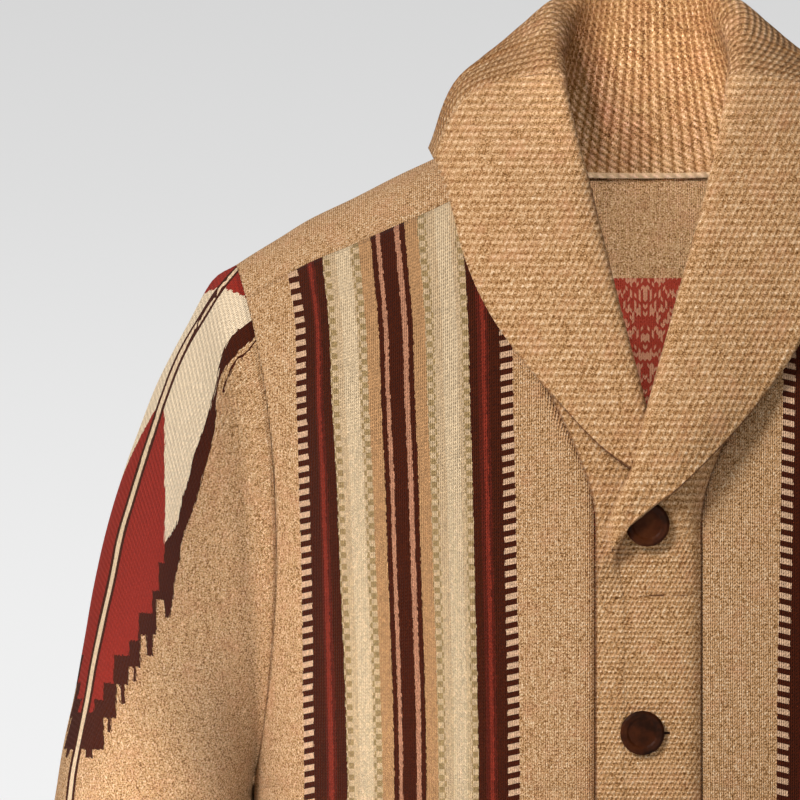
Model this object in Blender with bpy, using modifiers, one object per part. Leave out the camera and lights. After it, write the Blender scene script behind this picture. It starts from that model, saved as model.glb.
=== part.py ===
"""A knitted shawl collar cardigan, filled out and hollow, with its fronts buttoned.

Sizes are in millimetres and turned into metres when a mesh is made. The origin is the middle of
the neck opening, at the height where the shoulders meet the neck. The front faces -Y and the
wearer's right side is at -X. The wearer's left front laps over the right one.
"""
import math

import bmesh
import bpy
from mathutils import Vector

MM = 0.001
SEAM_GAP = 0.3                  # between two pieces at a seam

# Body
WALL = 3.0                      # body and sleeve cloth
HEM_Z = -700.0
RIB_TOP_Z = -632.0              # where the hem rib starts
UNDERARM_Z = -360.0
CHEST_HALF = 213.0              # half width at the underarm
FRONT_DEPTH = 122.0
BACK_DEPTH = 105.0
ARM_FRONT_DEPTH = 72.0          # reach of the armhole to the front
ARM_BACK_DEPTH = 66.0
SECTION_POWER = 2.3             # superellipse power of a level section
ARCH_POWER = 2.4                # superellipse power of the slope up to the shoulder
ARMHOLE_BOW = 17.0              # how far the armhole curves in between its ends
SHOULDER_SEAM = 32.0            # the seam lies this many degrees in front of the ridge
FRONT, BACK = -1, 1             # sign of Y

# The shoulder ridge: distance from the middle, height
SHOULDER_RIDGE = [(0, -4), (60, -5.5), (88, -10), (123, -27.5), (155, -42), (187, -56),
                  (209, -69.5), (222, -78)]
# Below the underarm: height, half width, front depth, back depth
BODY_LEVELS = [(-700, 194, 111, 102), (-640, 202, 116, 105), (-560, 206, 120, 106),
               (-450, 208, 121, 104), (-360, 213, 122, 105)]
# The neck edge of the front: height, distance from the middle
NECK_FRONT = [(-700, 28.6), (-260, 28.6), (-216, 29), (-194, 32), (-178, 39), (-157, 50),
              (-125, 61), (-90, 71), (-60, 78), (-38, 82.5), (-22, 86), (-10, 88)]
# The neck edge of the back, one point for each row of the back: degrees from the ridge,
# distance from the middle, height
NECK_BACK = [(32, 0, -31), (23, 40, -30), (15, 64, -25), (7.5, 80, -17.5), (0, 88, -10)]

# Collar and bands: one strip each side, and a length around the back of the neck.
# A place along the neck edge is its length from the middle of the back, in hundreds.
STRIP_WALL = 4.0
STRIP_RUNS = (2, 3, 2, 2, 3, 2)  # columns between the points that shape a section
STRIP_STEP = 18.0               # rows are at most this far apart along the seam of the collar
BREAK_STEP = 8.0                # and closer where the lapel turns flat
BREAK_FROM = 3.4
FLATTEN_FROM, FLATTEN_TO = 2.9, 3.4  # the fold turns to face the front between these places
COLLAR_SPLIT = 1.55             # place of the seam between the back length and a lapel
BAND_FROM = 4.25                # from here down the strip is a flat band

# Around the neck: place, roll x y z, free edge x y z, share of the stand, its puff,
# puff of the fall, radius of the roll
NECK_STATIONS = [
    (0.00, 0, 66, 71, 0, 76, -36, 0.5, 1, 3, 7),
    (0.40, 26, 63, 70, 50, 72, -35, 0.5, 1, 4, 7),
    (0.65, 40, 53, 67, 80, 59, -32, 0.5, 2, 7, 8),
    (0.86, 47, 36, 60, 102, 37, -27, 0.5, 3, 12, 9),
    (1.20, 49, 4, 43, 116, 4, -16, 0.5, 4, 15, 9),
    (1.50, 47, -24, 25, 115, -26, -19, 0.5, 4, 15, 9),
    (1.77, 43.5, -45, 6, 110, -47, -31, 0.5, 4, 12, 8),
    (2.00, 39.5, -60, -13, 106, -61, -44, 0.5, 3, 9, 7),
]
# Down the chest: place, roll x z lift, edge x z lift, share of the stand, puff of the fall,
# radius of the roll. A lift is out from the chest.
LAPEL_UNDER = [
    (2.30, 31, -46, 6, 98, -76, 6, 0.5, 4, 6),
    (2.60, 21, -85, 5, 86, -103, 5, 0.5, 2, 5),
    (2.90, 11, -122, 4, 69, -128, 5, 0.5, 1, 4.5),
    (3.20, 0.5, -163, 3, 47, -154, 6, 0.5, 1, 4),
    (3.38, -5, -182, 2.5, 26, -176, 6, 0.5, 0, 4),
    (3.52, -10, -193, 1.5, 7, -190, 6, 0.5, 0, 3.5),
    (3.62, -12, -202, 0, -5, -199, 6.5, 0.5, 0, 3.5),
    (3.70, -11, -209, -1, -16, -207, 5, 0.5, 0, 3.5),
    (3.78, -10, -216, -2, -18, -214, 1, 0.5, 0, 3.5),
    (3.88, -8, -224, -2, -18, -224, -2, 0.5, 0, 4),
    (4.25, -6, -260, -2, -18, -260, -2, 0.5, 0, 4),
]
LAPEL_OVER = [
    (2.30, 31, -46, 6, 99, -76, 6, 0.5, 4, 6),
    (2.60, 21, -85, 5, 90, -105, 5, 0.5, 2, 5),
    (2.90, 11, -122, 7, 76, -130, 6, 0.5, 2, 4.5),
    (3.05, 5, -144, 12, 66, -144, 7, 0.5, 3, 4),
    (3.20, -0.5, -163, 17, 55, -158, 10, 0.45, 4, 4),
    (3.40, -7, -187, 17, 35, -181, 15, 0.42, 3, 4),
    (3.60, -14, -202, 15.5, 18, -201, 20, 0.36, 1, 4),
    (3.78, -19, -215, 12.5, 3, -213, 20, 0.28, 0, 4),
    (3.94, -20, -229, 9, -9, -226, 19, 0.25, 0, 5),
    (4.09, -17, -243, 4.7, -24, -241, 12, 0.25, 0, 5),
    (4.25, -14, -260, 3.3, -27.3, -260, 3.3, 0.25, 0, 4),
]

# Sleeves: outer edge x z, inner edge x z, half depth, middle y; the first row is the armhole
SLEEVE_RINGS = [
    (235, -86.5, 213.6, -361, 64, 0), (247, -108, 214.5, -363, 65, 0),
    (259, -130, 215.5, -366, 65.5, 0), (273, -162, 217, -369, 66, 0),
    (287.5, -205, 219, -373, 65.5, 1), (298, -248, 221, -379, 64, 2),
    (308, -302, 223.5, -388, 62.5, 3), (319, -356, 228, -402, 61, 4),
    (328, -412, 234, -436, 60, 4), (335, -470, 243, -486, 58.5, 2),
    (340, -530, 252, -540, 56, -4), (342, -590, 261, -595, 52, -14),
    (341, -620, 267, -622, 48, -20), (337, -635.6, 273, -637.6, 37, -24),
]
CUFF_TOP = (336, -636.5, 274, -638.5, 36, -24)
CUFF_END = (332, -702, 268, -704, 35, -36)
CUFF_RIBS = 26
HEM_BACK_RIBS = 52
HEM_FRONT_RIBS = 24
RIB_HEIGHT = 1.6
RIB_PROFILE = (0, 1, 1)         # valley, crest, crest

# Rows above the underarm, in degrees around the armhole from the shoulder ridge
ARM_DEGREES = [180, 160, 140, 122, 109, 98, 88, 76, 62, 46, 32, 23, 15, 7.5, 0]
BODY_HEIGHTS = [-560, -490, -425]
FRONT_COLUMNS = 9
BACK_COLUMNS = 9                # on each half
NECK_TRIES = 30                 # to find where a row of the front meets its neck edge
STEEPEST_MITRE = 0.72           # a seam's slanted wall end is not longer than WALL over this
SEAM_LIFT = 0.68                # share of the strip's wall that clears the panel at its seam

# Buttons from the top: distance from the middle, height
BUTTON_PLACES = [(-0.5, -218), (-3.2, -330), (-2.5, -442), (-3, -554), (-2.5, -666)]
BUTTON_RADIUS = 12.0
# Half section of a button: distance from its axis, height over the cloth
BUTTON_PROFILE = [(0, 0), (9, 0), (12, 1.2), (12, 2.4), (10.6, 3.4), (8.6, 3.0), (7.4, 2.2),
                  (0, 2.0)]
BUTTON_SIDES = 20

COLOURS = {"knit": (0.51, 0.30, 0.15), "collar": (0.44, 0.26, 0.12), "horn": (0.05, 0.02, 0.01)}


def smooth_table(table, key):
    """Read a table at a key with a curve through its rows; the first column is the key."""
    last = len(table) - 2
    i = 0
    while i < last and key > table[i + 1][0]:
        i += 1
    before, start, end, after = (table[min(max(k, 0), last + 1)] for k in (i - 1, i, i + 1, i + 2))
    span = end[0] - start[0]
    f = min(max((key - start[0]) / span, 0.0), 1.0)
    values = []
    for c in range(1, len(start)):
        rise = (end[c] - start[c]) / span
        low = (start[c] - before[c]) / (start[0] - before[0]) if before is not start else rise
        high = (after[c] - end[c]) / (after[0] - end[0]) if after is not end else rise
        slope_start = 0.5 * (low + rise) * span
        slope_end = 0.5 * (high + rise) * span
        limit = 3.0 * abs(end[c] - start[c])
        slope_start = max(-limit, min(limit, slope_start))
        slope_end = max(-limit, min(limit, slope_end))
        values.append((2 * f**3 - 3 * f**2 + 1) * start[c] + (f**3 - 2 * f**2 + f) * slope_start
                      + (3 * f**2 - 2 * f**3) * end[c] + (f**3 - f**2) * slope_end)
    return values


def ridge_z(x):
    return smooth_table(SHOULDER_RIDGE, abs(x))[0]


def arch(w):
    """Depth left at w of the way up from the underarm to the shoulder."""
    return max(0.0, 1.0 - w**ARCH_POWER) ** (1.0 / ARCH_POWER)


def way_up(degrees):
    return 0.5 * (1.0 + math.cos(math.radians(degrees)))


def level(v, face):
    """Half width and depth of the body at v: 0 underarm, 1 shoulder, under 0 a height below."""
    if v < 0:
        half, front, back = smooth_table(BODY_LEVELS, UNDERARM_Z + v)
        return half, front if face == FRONT else back
    depth = FRONT_DEPTH if face == FRONT else BACK_DEPTH
    reach = ARM_FRONT_DEPTH if face == FRONT else ARM_BACK_DEPTH
    share = reach / depth * arch(1.0 - v)
    half = armhole_x(v) / (1.0 - share**SECTION_POWER) ** (1.0 / SECTION_POWER)
    return half, depth * arch(v)


def armhole_x(w):
    top = SHOULDER_RIDGE[-1][0]
    return CHEST_HALF + (top - CHEST_HALF) * w - 4.0 * ARMHOLE_BOW * w * (1.0 - w)


def body_point(v, turn, face):
    """A point of the body's outside, turned from the middle (0) to the side (90 degrees)."""
    half, depth = level(v, face)
    x = half * math.sin(turn) ** (2.0 / SECTION_POWER)
    y = face * depth * max(0.0, math.cos(turn)) ** (2.0 / SECTION_POWER)
    z = UNDERARM_Z + (v if v < 0 else v * (ridge_z(x) - UNDERARM_Z))
    return Vector((x, y, z))


def body_normal(v, turn, face):
    """The outward direction at a point of the body's outside."""
    step = 1.0 if v < 0 else 1e-4
    low, high = max(v - step, 0.0), min(v + step, 1.0)
    if v < 0:
        low, high = v - step, min(v + step, -1e-6)
    up = body_point(high, turn, face) - body_point(low, turn, face)
    spread = 1e-3
    across = (body_point(v, min(turn + spread, math.pi / 2), face)
              - body_point(v, max(turn - spread, 0.0), face))
    normal = across.cross(up).normalized()
    return normal if face == FRONT else -normal


def turn_at(x, v, face):
    half, _ = level(v, face)
    return math.asin(min(1.0, (x / half) ** (SECTION_POWER / 2.0)))


def chest_point(x, z, lift):
    """A point in front of the chest, lifted off its outside."""
    span = ridge_z(x) - UNDERARM_Z
    v = (z - UNDERARM_Z) / span if z > UNDERARM_Z else z - UNDERARM_Z
    point = body_point(v, turn_at(abs(x), v, FRONT), FRONT)
    return Vector((x, point.y - lift, z))


def neck_x(z):
    return smooth_table(NECK_FRONT, z)[0]


def front_inner(v):
    """Where a row of the front meets its neck or band edge."""
    if v < 0:
        return neck_x(UNDERARM_Z + v)
    x = neck_x(UNDERARM_Z)
    for _ in range(NECK_TRIES):
        x = neck_x(UNDERARM_Z + v * (ridge_z(x) - UNDERARM_Z))
    return x


def panel_row(v_inner, x_inner, v_outer, outer_turn, face, columns):
    """A row of a panel, from its inner edge out: its points and its outward directions."""
    turn_inner = turn_at(x_inner, v_inner, face)
    points, normals = [], []
    for c in range(columns + 1):
        f = c / columns
        v = v_inner + (v_outer - v_inner) * f
        turn = turn_inner + (outer_turn - turn_inner) * f
        points.append(body_point(v, turn, face))
        normals.append(body_normal(v, turn, face))
    return points, normals


def side_turn(v, face):
    if v < 0:
        return math.pi / 2
    return turn_at(armhole_x(v), v, face)


def body_levels():
    """Heights below the underarm, as body_point takes them, from the rib up."""
    heights = [RIB_TOP_Z + SEAM_GAP] + BODY_HEIGHTS
    return [z - UNDERARM_Z for z in heights]


def front_grid():
    """Points and outward directions of a front, from the rib to the shoulder seam."""
    rows = []
    for v in body_levels():
        rows.append(panel_row(v, front_inner(v), v, math.pi / 2, FRONT, FRONT_COLUMNS))
    for degrees in ARM_DEGREES:
        if degrees < SHOULDER_SEAM:
            break
        v = way_up(degrees)
        rows.append(panel_row(v, front_inner(v), v, side_turn(v, FRONT), FRONT, FRONT_COLUMNS))
    return [list(grid) for grid in zip(*rows)]


def back_grid():
    """Half of the back, from the rib over the shoulder to the seam in front of the ridge."""
    rows = []
    for v in body_levels():
        rows.append(panel_row(v, 0.0, v, math.pi / 2, BACK, BACK_COLUMNS))
    neck = {degrees: (x, z) for degrees, x, z in NECK_BACK}
    for degrees in ARM_DEGREES:
        v = way_up(degrees)
        x, v_inner = 0.0, v
        if degrees in neck:
            x, z = neck[degrees]
            v_inner = (z - UNDERARM_Z) / (ridge_z(x) - UNDERARM_Z)
        rows.append(panel_row(v_inner, x, v, side_turn(v, BACK), BACK, BACK_COLUMNS))
    for degrees in reversed(ARM_DEGREES[:-1]):
        if degrees > SHOULDER_SEAM:
            break
        v = way_up(degrees)
        rows.append(panel_row(v, front_inner(v), v, side_turn(v, FRONT), FRONT, BACK_COLUMNS))
    # the last row is drawn back by the seam gap
    for point, before in zip(rows[-1][0], rows[-2][0]):
        point += (before - point).normalized() * SEAM_GAP
    return [list(grid) for grid in zip(*rows)]


def grid_normals(grid, closed=False):
    """Outward normals of a grid whose rows go up and whose columns go from the middle out."""
    normals = []
    last_row, last_col = len(grid) - 1, len(grid[0]) - 1
    for r, row in enumerate(grid):
        line = []
        for c in range(len(row)):
            up = grid[min(r + 1, last_row)][c] - grid[max(r - 1, 0)][c]
            if closed:
                across = row[(c + 1) % len(row)] - row[c - 1]
            else:
                across = row[min(c + 1, last_col)] - row[max(c - 1, 0)]
            line.append(up.cross(across).normalized())
        normals.append(line)
    return normals


def inner_grid(grid, normals, wall):
    return [[p - n * wall for p, n in zip(row, line)] for row, line in zip(grid, normals)]


def mirrored(grid):
    return [[Vector((-p.x, p.y, p.z)) for p in row] for row in grid]


def new_object(name, bm, colour):
    mesh = bpy.data.meshes.new(name)
    bmesh.ops.recalc_face_normals(bm, faces=bm.faces)
    bm.to_mesh(mesh)
    bm.free()
    obj = bpy.data.objects.new(name, mesh)
    mesh.materials.append(material(colour))
    COLLECTION.objects.link(obj)
    return obj


def material(colour):
    existing = bpy.data.materials.get(colour)
    if existing:
        return existing
    made = bpy.data.materials.new(colour)
    made.use_nodes = True
    shader = made.node_tree.nodes["Principled BSDF"]
    shader.inputs["Base Color"].default_value = (*COLOURS[colour], 1.0)
    shader.inputs["Roughness"].default_value = 0.35 if colour == "horn" else 0.95
    return made


def add_quads(bm, grid, closed):
    """Put a grid of points into the mesh; returns its vertices."""
    verts = [[bm.verts.new(p * MM) for p in row] for row in grid]
    wrap = 0 if closed else 1
    for low, high in zip(verts, verts[1:]):
        for c in range(len(low) - wrap):
            n = (c + 1) % len(low)
            bm.faces.new((low[c], low[n], high[n], high[c]))
    return verts


def add_rim(bm, a, b, b_inside, a_inside):
    """Close a wall between two outer and two inner vertices, cut along the shorter diagonal."""
    if (a.co - b_inside.co).length < (b.co - a_inside.co).length:
        bm.faces.new((a, b, b_inside))
        bm.faces.new((a, b_inside, a_inside))
    else:
        bm.faces.new((a, b, a_inside))
        bm.faces.new((b, b_inside, a_inside))


def loft(name, outer, inner, colour, closed=False):
    """A closed wall between two grids of points."""
    bm = bmesh.new()
    rim = []
    for grid in (outer, inner):
        verts = add_quads(bm, grid, closed)
        rim.append(verts)
    out, inn = rim
    wrap = 0 if closed else 1
    for r in (0, -1):
        for c in range(len(out[r]) - wrap):
            n = (c + 1) % len(out[r])
            add_rim(bm, out[r][c], out[r][n], inn[r][n], inn[r][c])
    if not closed:
        for c in (0, -1):
            for r in range(len(out) - 1):
                add_rim(bm, out[r][c], out[r + 1][c], inn[r + 1][c], inn[r][c])
    return new_object(name, bm, colour)


def ring(outer_x, outer_z, inner_x, inner_z, depth, middle_y, degrees):
    """A sleeve ring as points at the given degrees, 0 outside and 90 in front."""
    outside = Vector((outer_x, middle_y, outer_z))
    inside = Vector((inner_x, middle_y, inner_z))
    points = []
    for angle in degrees:
        along = way_up(angle)
        point = inside.lerp(outside, along)
        point.y -= depth * math.sin(math.radians(angle))
        points.append(point)
    return points


def ring_degrees():
    """Once around the armhole, from the ridge over the front, the underarm and the back."""
    front = list(reversed(ARM_DEGREES))
    return front + [-d for d in ARM_DEGREES[1:-1]]


def armhole_loop():
    points = []
    for degrees in ring_degrees():
        face = BACK if degrees < 0 else FRONT
        v = way_up(degrees)
        points.append(body_point(v, side_turn(v, face), face))
    return points


class Armhole:
    """The seam between body and sleeve: the common slant of both walls and the way out."""

    def __init__(self, front_normals, back_normals, rings):
        self.loop = armhole_loop()
        self.degrees = ring_degrees()
        body_rows = {}
        first = len(body_levels())
        for r, degrees in enumerate(d for d in ARM_DEGREES if d >= SHOULDER_SEAM):
            body_rows[degrees] = front_normals[first + r][-1]
        for r, degrees in enumerate(ARM_DEGREES):
            body_rows[-degrees if degrees else 0] = back_normals[first + r][-1]
        for r, degrees in enumerate(d for d in reversed(ARM_DEGREES[:-1]) if d < SHOULDER_SEAM):
            body_rows[degrees] = back_normals[first + len(ARM_DEGREES) + r][-1]
        count = len(self.loop)
        self.slant = []
        self.apart = []
        for i, degrees in enumerate(self.degrees):
            tangent = (self.loop[(i + 1) % count] - self.loop[i - 1]).normalized()
            out = rings[1][i] - self.loop[i]
            sleeve_normal = tangent.cross(out).normalized()
            middle = Vector((CHEST_HALF, 0, 0.5 * (UNDERARM_Z + SHOULDER_RIDGE[-1][1])))
            if sleeve_normal.dot(self.loop[i] - middle) < 0:
                sleeve_normal.negate()
            body_normal = body_rows[degrees]
            if abs(degrees) == 180:
                body_normal = Vector((1, 0, 0))
            both = (body_normal + sleeve_normal).normalized()
            width = WALL / max(STEEPEST_MITRE, both.dot(body_normal))
            self.slant.append(-both * width)
            apart = tangent.cross(both).normalized()
            if apart.dot(out) < 0:
                apart.negate()
            self.apart.append(apart * SEAM_GAP)
        self.by_degrees = dict(zip(self.degrees, self.slant))


def sleeve_grids():
    degrees = ring_degrees()
    rings = [armhole_loop()]
    for row in SLEEVE_RINGS:
        rings.append(ring(*row, degrees))
    # the curve of the armhole fades over the next rings
    for r, share in ((1, 0.7), (2, 0.42), (3, 0.2), (4, 0.07)):
        for i, angle in enumerate(degrees):
            rings[r][i].x -= share * 4.0 * ARMHOLE_BOW * way_up(angle) * (1.0 - way_up(angle))
    return rings


def make_body(front, front_normals, back, back_normals, armhole):
    """Two fronts and the back. Armhole edges take the slant that the sleeve shares."""
    first = len(body_levels())
    front_inside = inner_grid(front, front_normals, WALL)
    for r, degrees in enumerate(d for d in ARM_DEGREES if d >= SHOULDER_SEAM):
        front_inside[first + r][-1] = front[first + r][-1] + armhole.by_degrees[degrees]
    back_inside = inner_grid(back, back_normals, WALL)
    back_degrees = [-d if d else 0 for d in ARM_DEGREES]
    back_degrees[0] = 180
    back_degrees += [d for d in reversed(ARM_DEGREES[:-1]) if d <= SHOULDER_SEAM]
    for r, degrees in enumerate(back_degrees):
        back_inside[first + r][-1] = back[first + r][-1] + armhole.by_degrees[degrees]
    # the side seam gap
    for grid, sign in ((front, FRONT), (front_inside, FRONT), (back, BACK), (back_inside, BACK)):
        for r in range(first + 1):
            grid[r][-1].y += sign * 0.5 * SEAM_GAP
    loft("front_left", front, front_inside, "knit")
    loft("front_right", mirrored(front), mirrored(front_inside), "knit")
    half_back(back, back_inside)


def half_back(outer, inner):
    """Half of the back is lofted open at the middle, and a mirror makes it whole."""
    bm = bmesh.new()
    out = add_quads(bm, outer, False)
    inn = add_quads(bm, inner, False)
    for r in (0, -1):
        for c in range(len(out[r]) - 1):
            add_rim(bm, out[r][c], out[r][c + 1], inn[r][c + 1], inn[r][c])
    neck_row = len(body_levels()) + ARM_DEGREES.index(NECK_BACK[0][0])
    for r in range(len(out) - 1):
        add_rim(bm, out[r][-1], out[r + 1][-1], inn[r + 1][-1], inn[r][-1])
        if r >= neck_row:
            add_rim(bm, out[r][0], out[r + 1][0], inn[r + 1][0], inn[r][0])
    for line in (out, inn):
        for r in range(neck_row + 1):
            line[r][0].co.x = 0.0
    obj = new_object("back", bm, "knit")
    mirror = obj.modifiers.new("Other half", "MIRROR")
    mirror.use_clip = True
    mirror.merge_threshold = 0.00001


def make_sleeves(rings, armhole):
    outer = [list(row) for row in rings]
    outer[0] = [p + a for p, a in zip(armhole.loop, armhole.apart)]
    normals = grid_normals(outer, closed=True)
    centre_out = normals[5][0].x > 0
    inner = inner_grid(outer, normals, WALL if centre_out else -WALL)
    inner[0] = [p + s for p, s in zip(outer[0], armhole.slant)]
    loft("sleeve_left", outer, inner, "knit", closed=True)
    loft("sleeve_right", mirrored(outer), mirrored(inner), "knit", closed=True)


def rib_line(points_at, ribs, closed):
    """Points along an edge with ribs raised on them: pairs of outer and inner points."""
    steps = ribs * len(RIB_PROFILE)
    outer, inner = [], []
    count = steps if closed else steps + 1
    for i in range(count):
        f = i / steps
        low, high = f - 0.001, f + 0.001
        if not closed:
            low, high = max(low, 0.0), min(high, 1.0)
        here, ahead, behind = points_at(f), points_at(high), points_at(low)
        across = (ahead - behind).normalized()
        out = Vector((across.y, -across.x, 0)).normalized()
        raised = RIB_HEIGHT * RIB_PROFILE[i % len(RIB_PROFILE)]
        outer.append(here + out * raised)
        inner.append(here - out * (WALL - RIB_HEIGHT))
    return outer, inner


def make_hem(name, face, turn_start, ribs, mirror_x):
    """A run of hem rib between two turns of the body section."""
    grids = ([], [])
    for z in (HEM_Z, RIB_TOP_Z - SEAM_GAP):
        v = z - UNDERARM_Z
        start = turn_start(v)
        end = math.pi / 2

        def points_at(f):
            if face == BACK:
                # across the whole back, from side to side
                turn = end * (1.0 - 2.0 * f)
                p = body_point(v, abs(turn), BACK)
                p.x = math.copysign(p.x, turn)
                return p
            return body_point(v, start + (end - start) * f, FRONT)

        outer, inner = rib_line(points_at, ribs, False)
        grids[0].append(outer)
        grids[1].append(inner)
    for grid in grids:
        for row in grid:
            for end_point in ((row[0], row[-1]) if face == BACK else (row[-1],)):
                end_point.y += face * 0.5 * SEAM_GAP
    outer, inner = grids
    if mirror_x:
        outer, inner = mirrored(outer), mirrored(inner)
    loft(name, outer, inner, "knit")


def make_cuffs():
    grids = ([], [])
    for f in (1.0, 0.5, 0.0):
        sizes = [a + (b - a) * f for a, b in zip(CUFF_TOP, CUFF_END)]

        def points_at(around):
            return ring(*sizes, [-360.0 * around])[0]

        outer, inner = rib_line(points_at, CUFF_RIBS, True)
        grids[0].append(outer)
        grids[1].append(inner)
    loft("cuff_left", *grids, "knit", closed=True)
    loft("cuff_right", mirrored(grids[0]), mirrored(grids[1]), "knit", closed=True)


def neck_edge(front, front_normals, back, back_normals):
    """The neck edge from the middle of the back to the hem, on the wearer's left.

    Each point has its place along the edge, its middle in the wall, the way out of the panel
    and the panel's outward direction.
    """
    first = len(body_levels())
    seam = ARM_DEGREES.index(SHOULDER_SEAM)
    found = []
    for r in range(first + seam, len(back)):
        found.append((back[r][0], back_normals[r][0]))
    for r in reversed(range(len(front) - 1)):
        found.append((front[r][0], front_normals[r][0]))
    foot = HEM_Z - UNDERARM_Z
    found.append((body_point(foot, turn_at(front_inner(foot), foot, FRONT), FRONT), found[-1][1]))
    middle = Vector((CHEST_HALF, 0, UNDERARM_Z))
    edge = []
    length = 0.0
    for i, (point, normal) in enumerate(found):
        ahead = found[min(i + 1, len(found) - 1)][0]
        behind = found[max(i - 1, 0)][0]
        tangent = (ahead - behind).normalized() if i else Vector((1, 0, 0))
        out = tangent.cross(normal).normalized()
        if out.dot(point - middle) < 0:
            out.negate()
        length += (point - behind).length / 100.0
        edge.append((length, point - normal * WALL * 0.5, out, normal))
    return edge


def strip_rows(edge):
    """Rows of a strip: close together on the collar, one a step on the flat band."""
    rows = []
    for here, ahead in zip(edge, edge[1:]):
        steps = 1
        if here[0] < BAND_FROM:
            step = STRIP_STEP if here[0] < BREAK_FROM else BREAK_STEP
            steps = math.ceil((ahead[0] - here[0]) * 100.0 / step)
        for s in range(steps):
            f = s / steps
            seam, out, normal = (a.lerp(b, f) for a, b in zip(here[1:], ahead[1:]))
            rows.append((here[0] + (ahead[0] - here[0]) * f, seam, out.normalized(),
                         normal.normalized()))
    rows.append(edge[-1])
    return rows


def section_sizes(place, seam_z, lapel):
    """Roll, free edge and the sizes that shape the section at a place."""
    if place >= BAND_FROM:
        _, roll_x, _, roll_lift, edge_x, _, edge_lift, share, _, radius = lapel[-1]
        return (chest_point(roll_x, seam_z, roll_lift), chest_point(edge_x, seam_z, edge_lift),
                share, 0.0, 0.0, radius)
    table = list(NECK_STATIONS)
    for along, roll_x, roll_z, roll_lift, edge_x, edge_z, edge_lift, share, puff, radius in lapel:
        roll = chest_point(roll_x, roll_z, roll_lift)
        edge = chest_point(edge_x, edge_z, edge_lift)
        table.append((along, *roll, *edge, share, 0, puff, radius))
    values = smooth_table(table, place)
    return (Vector(values[:3]), Vector(values[3:6]), *values[6:])


def spline_point(points, run, f):
    """A point on a smooth curve through a few points, f of the way along one run."""
    start, end = points[run], points[run + 1]
    before = points[run - 1] if run > 0 else start * 2 - end
    after = points[run + 2] if run + 2 < len(points) else end * 2 - start
    return (start * 2 + (end - before) * f + (before * 2 - start * 5 + end * 4 - after) * f * f
            + (start * 3 - end * 3 + after - before) * f**3) * 0.5


def strip_section(place, seam, out, normal, lapel):
    """Mid-wall points across the strip, from its seam over the roll to the free edge."""
    roll, edge, share, puff_in, puff_out, radius = section_sizes(place, seam.z, lapel)
    up = (roll - (seam + edge) * 0.5).normalized()
    away = edge - seam
    away -= up * away.dot(up)
    forward = Vector((0, -1, 0))
    flat = min(1.0, max(0.0, (place - FLATTEN_FROM) / (FLATTEN_TO - FLATTEN_FROM)))
    away = away.normalized().lerp(forward, flat).normalized()
    back = (seam - roll).normalized()
    front = (edge - roll).normalized()
    folded = 0.5 * (1.0 + back.dot(front))
    before = roll + (back - away * folded) * radius
    after = roll + (front + away * folded) * min(radius, 0.4 * (edge - roll).length)
    stand = seam.lerp(before, share) - away * puff_in
    if lapel is LAPEL_OVER:
        # the upper strip climbs over the lower one soon after its seam
        stand.y += (before.y - stand.y) * flat
    slope = abs((stand - seam).normalized().dot(normal))
    start = seam + out * (SEAM_GAP + SEAM_LIFT * STRIP_WALL * slope)
    fall = after.lerp(edge, 0.5) + away * puff_out
    points = [start, stand, before, roll, after, fall, edge]
    section = [spline_point(points, run, c / count)
               for run, count in enumerate(STRIP_RUNS) for c in range(count)]
    return section + [edge]


def strip_walls(edge, lapel):
    """Both faces of a strip and its copy around the back, cut at the two collar seams.

    Returns the lapel with its band and the length around the back, on the wearer's left.
    """
    rows = strip_rows(edge)
    side = [strip_section(*row, lapel) for row in rows]
    whole = list(reversed(mirrored(side)))[:-1] + side
    normals = grid_normals(whole)
    middle = len(side) - 1
    split = min(range(len(rows)), key=lambda i: abs(rows[i][0] - COLLAR_SPLIT))
    lapel_faces, back_faces = [], []
    for sign in (0.5, -0.5):
        face = [[p + n * (sign * STRIP_WALL) for p, n in zip(row, line)]
                for row, line in zip(whole, normals)]
        part = [list(row) for row in face[middle + split:]]
        part[0] = [p + (q - p).normalized() * 0.5 * SEAM_GAP for p, q in zip(part[0], part[1])]
        lapel_faces.append(part)
        part = [list(row) for row in face[middle - split:middle + split + 1]]
        for here, ahead in ((0, 1), (-1, -2)):
            part[here] = [p + (q - p).normalized() * 0.5 * SEAM_GAP
                          for p, q in zip(part[here], part[ahead])]
        back_faces.append(part)
    return lapel_faces, back_faces


def make_strips(edge):
    """The lapels with their bands, and the length of collar around the back."""
    left, back = strip_walls(edge, LAPEL_OVER)
    right, _ = strip_walls(edge, LAPEL_UNDER)
    loft("collar_back", *back, "collar")
    loft("lapel_left", *left, "collar")
    loft("lapel_right", *(mirrored(face) for face in right), "collar")
    return left


def seat_y(walls, x, z):
    """How far forward the upper band reaches under a button."""
    reach = 0.0
    stand = 1 + sum(STRIP_RUNS[:2])
    for grid in walls:
        for low, high in zip(grid, grid[1:]):
            for p, q in zip(low[:stand], high[:stand]):
                for step in range(9):
                    point = p.lerp(q, step / 8.0)
                    if math.hypot(point.x - x, point.z - z) < BUTTON_RADIUS * 1.1:
                        reach = min(reach, point.y)
    return reach


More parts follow.
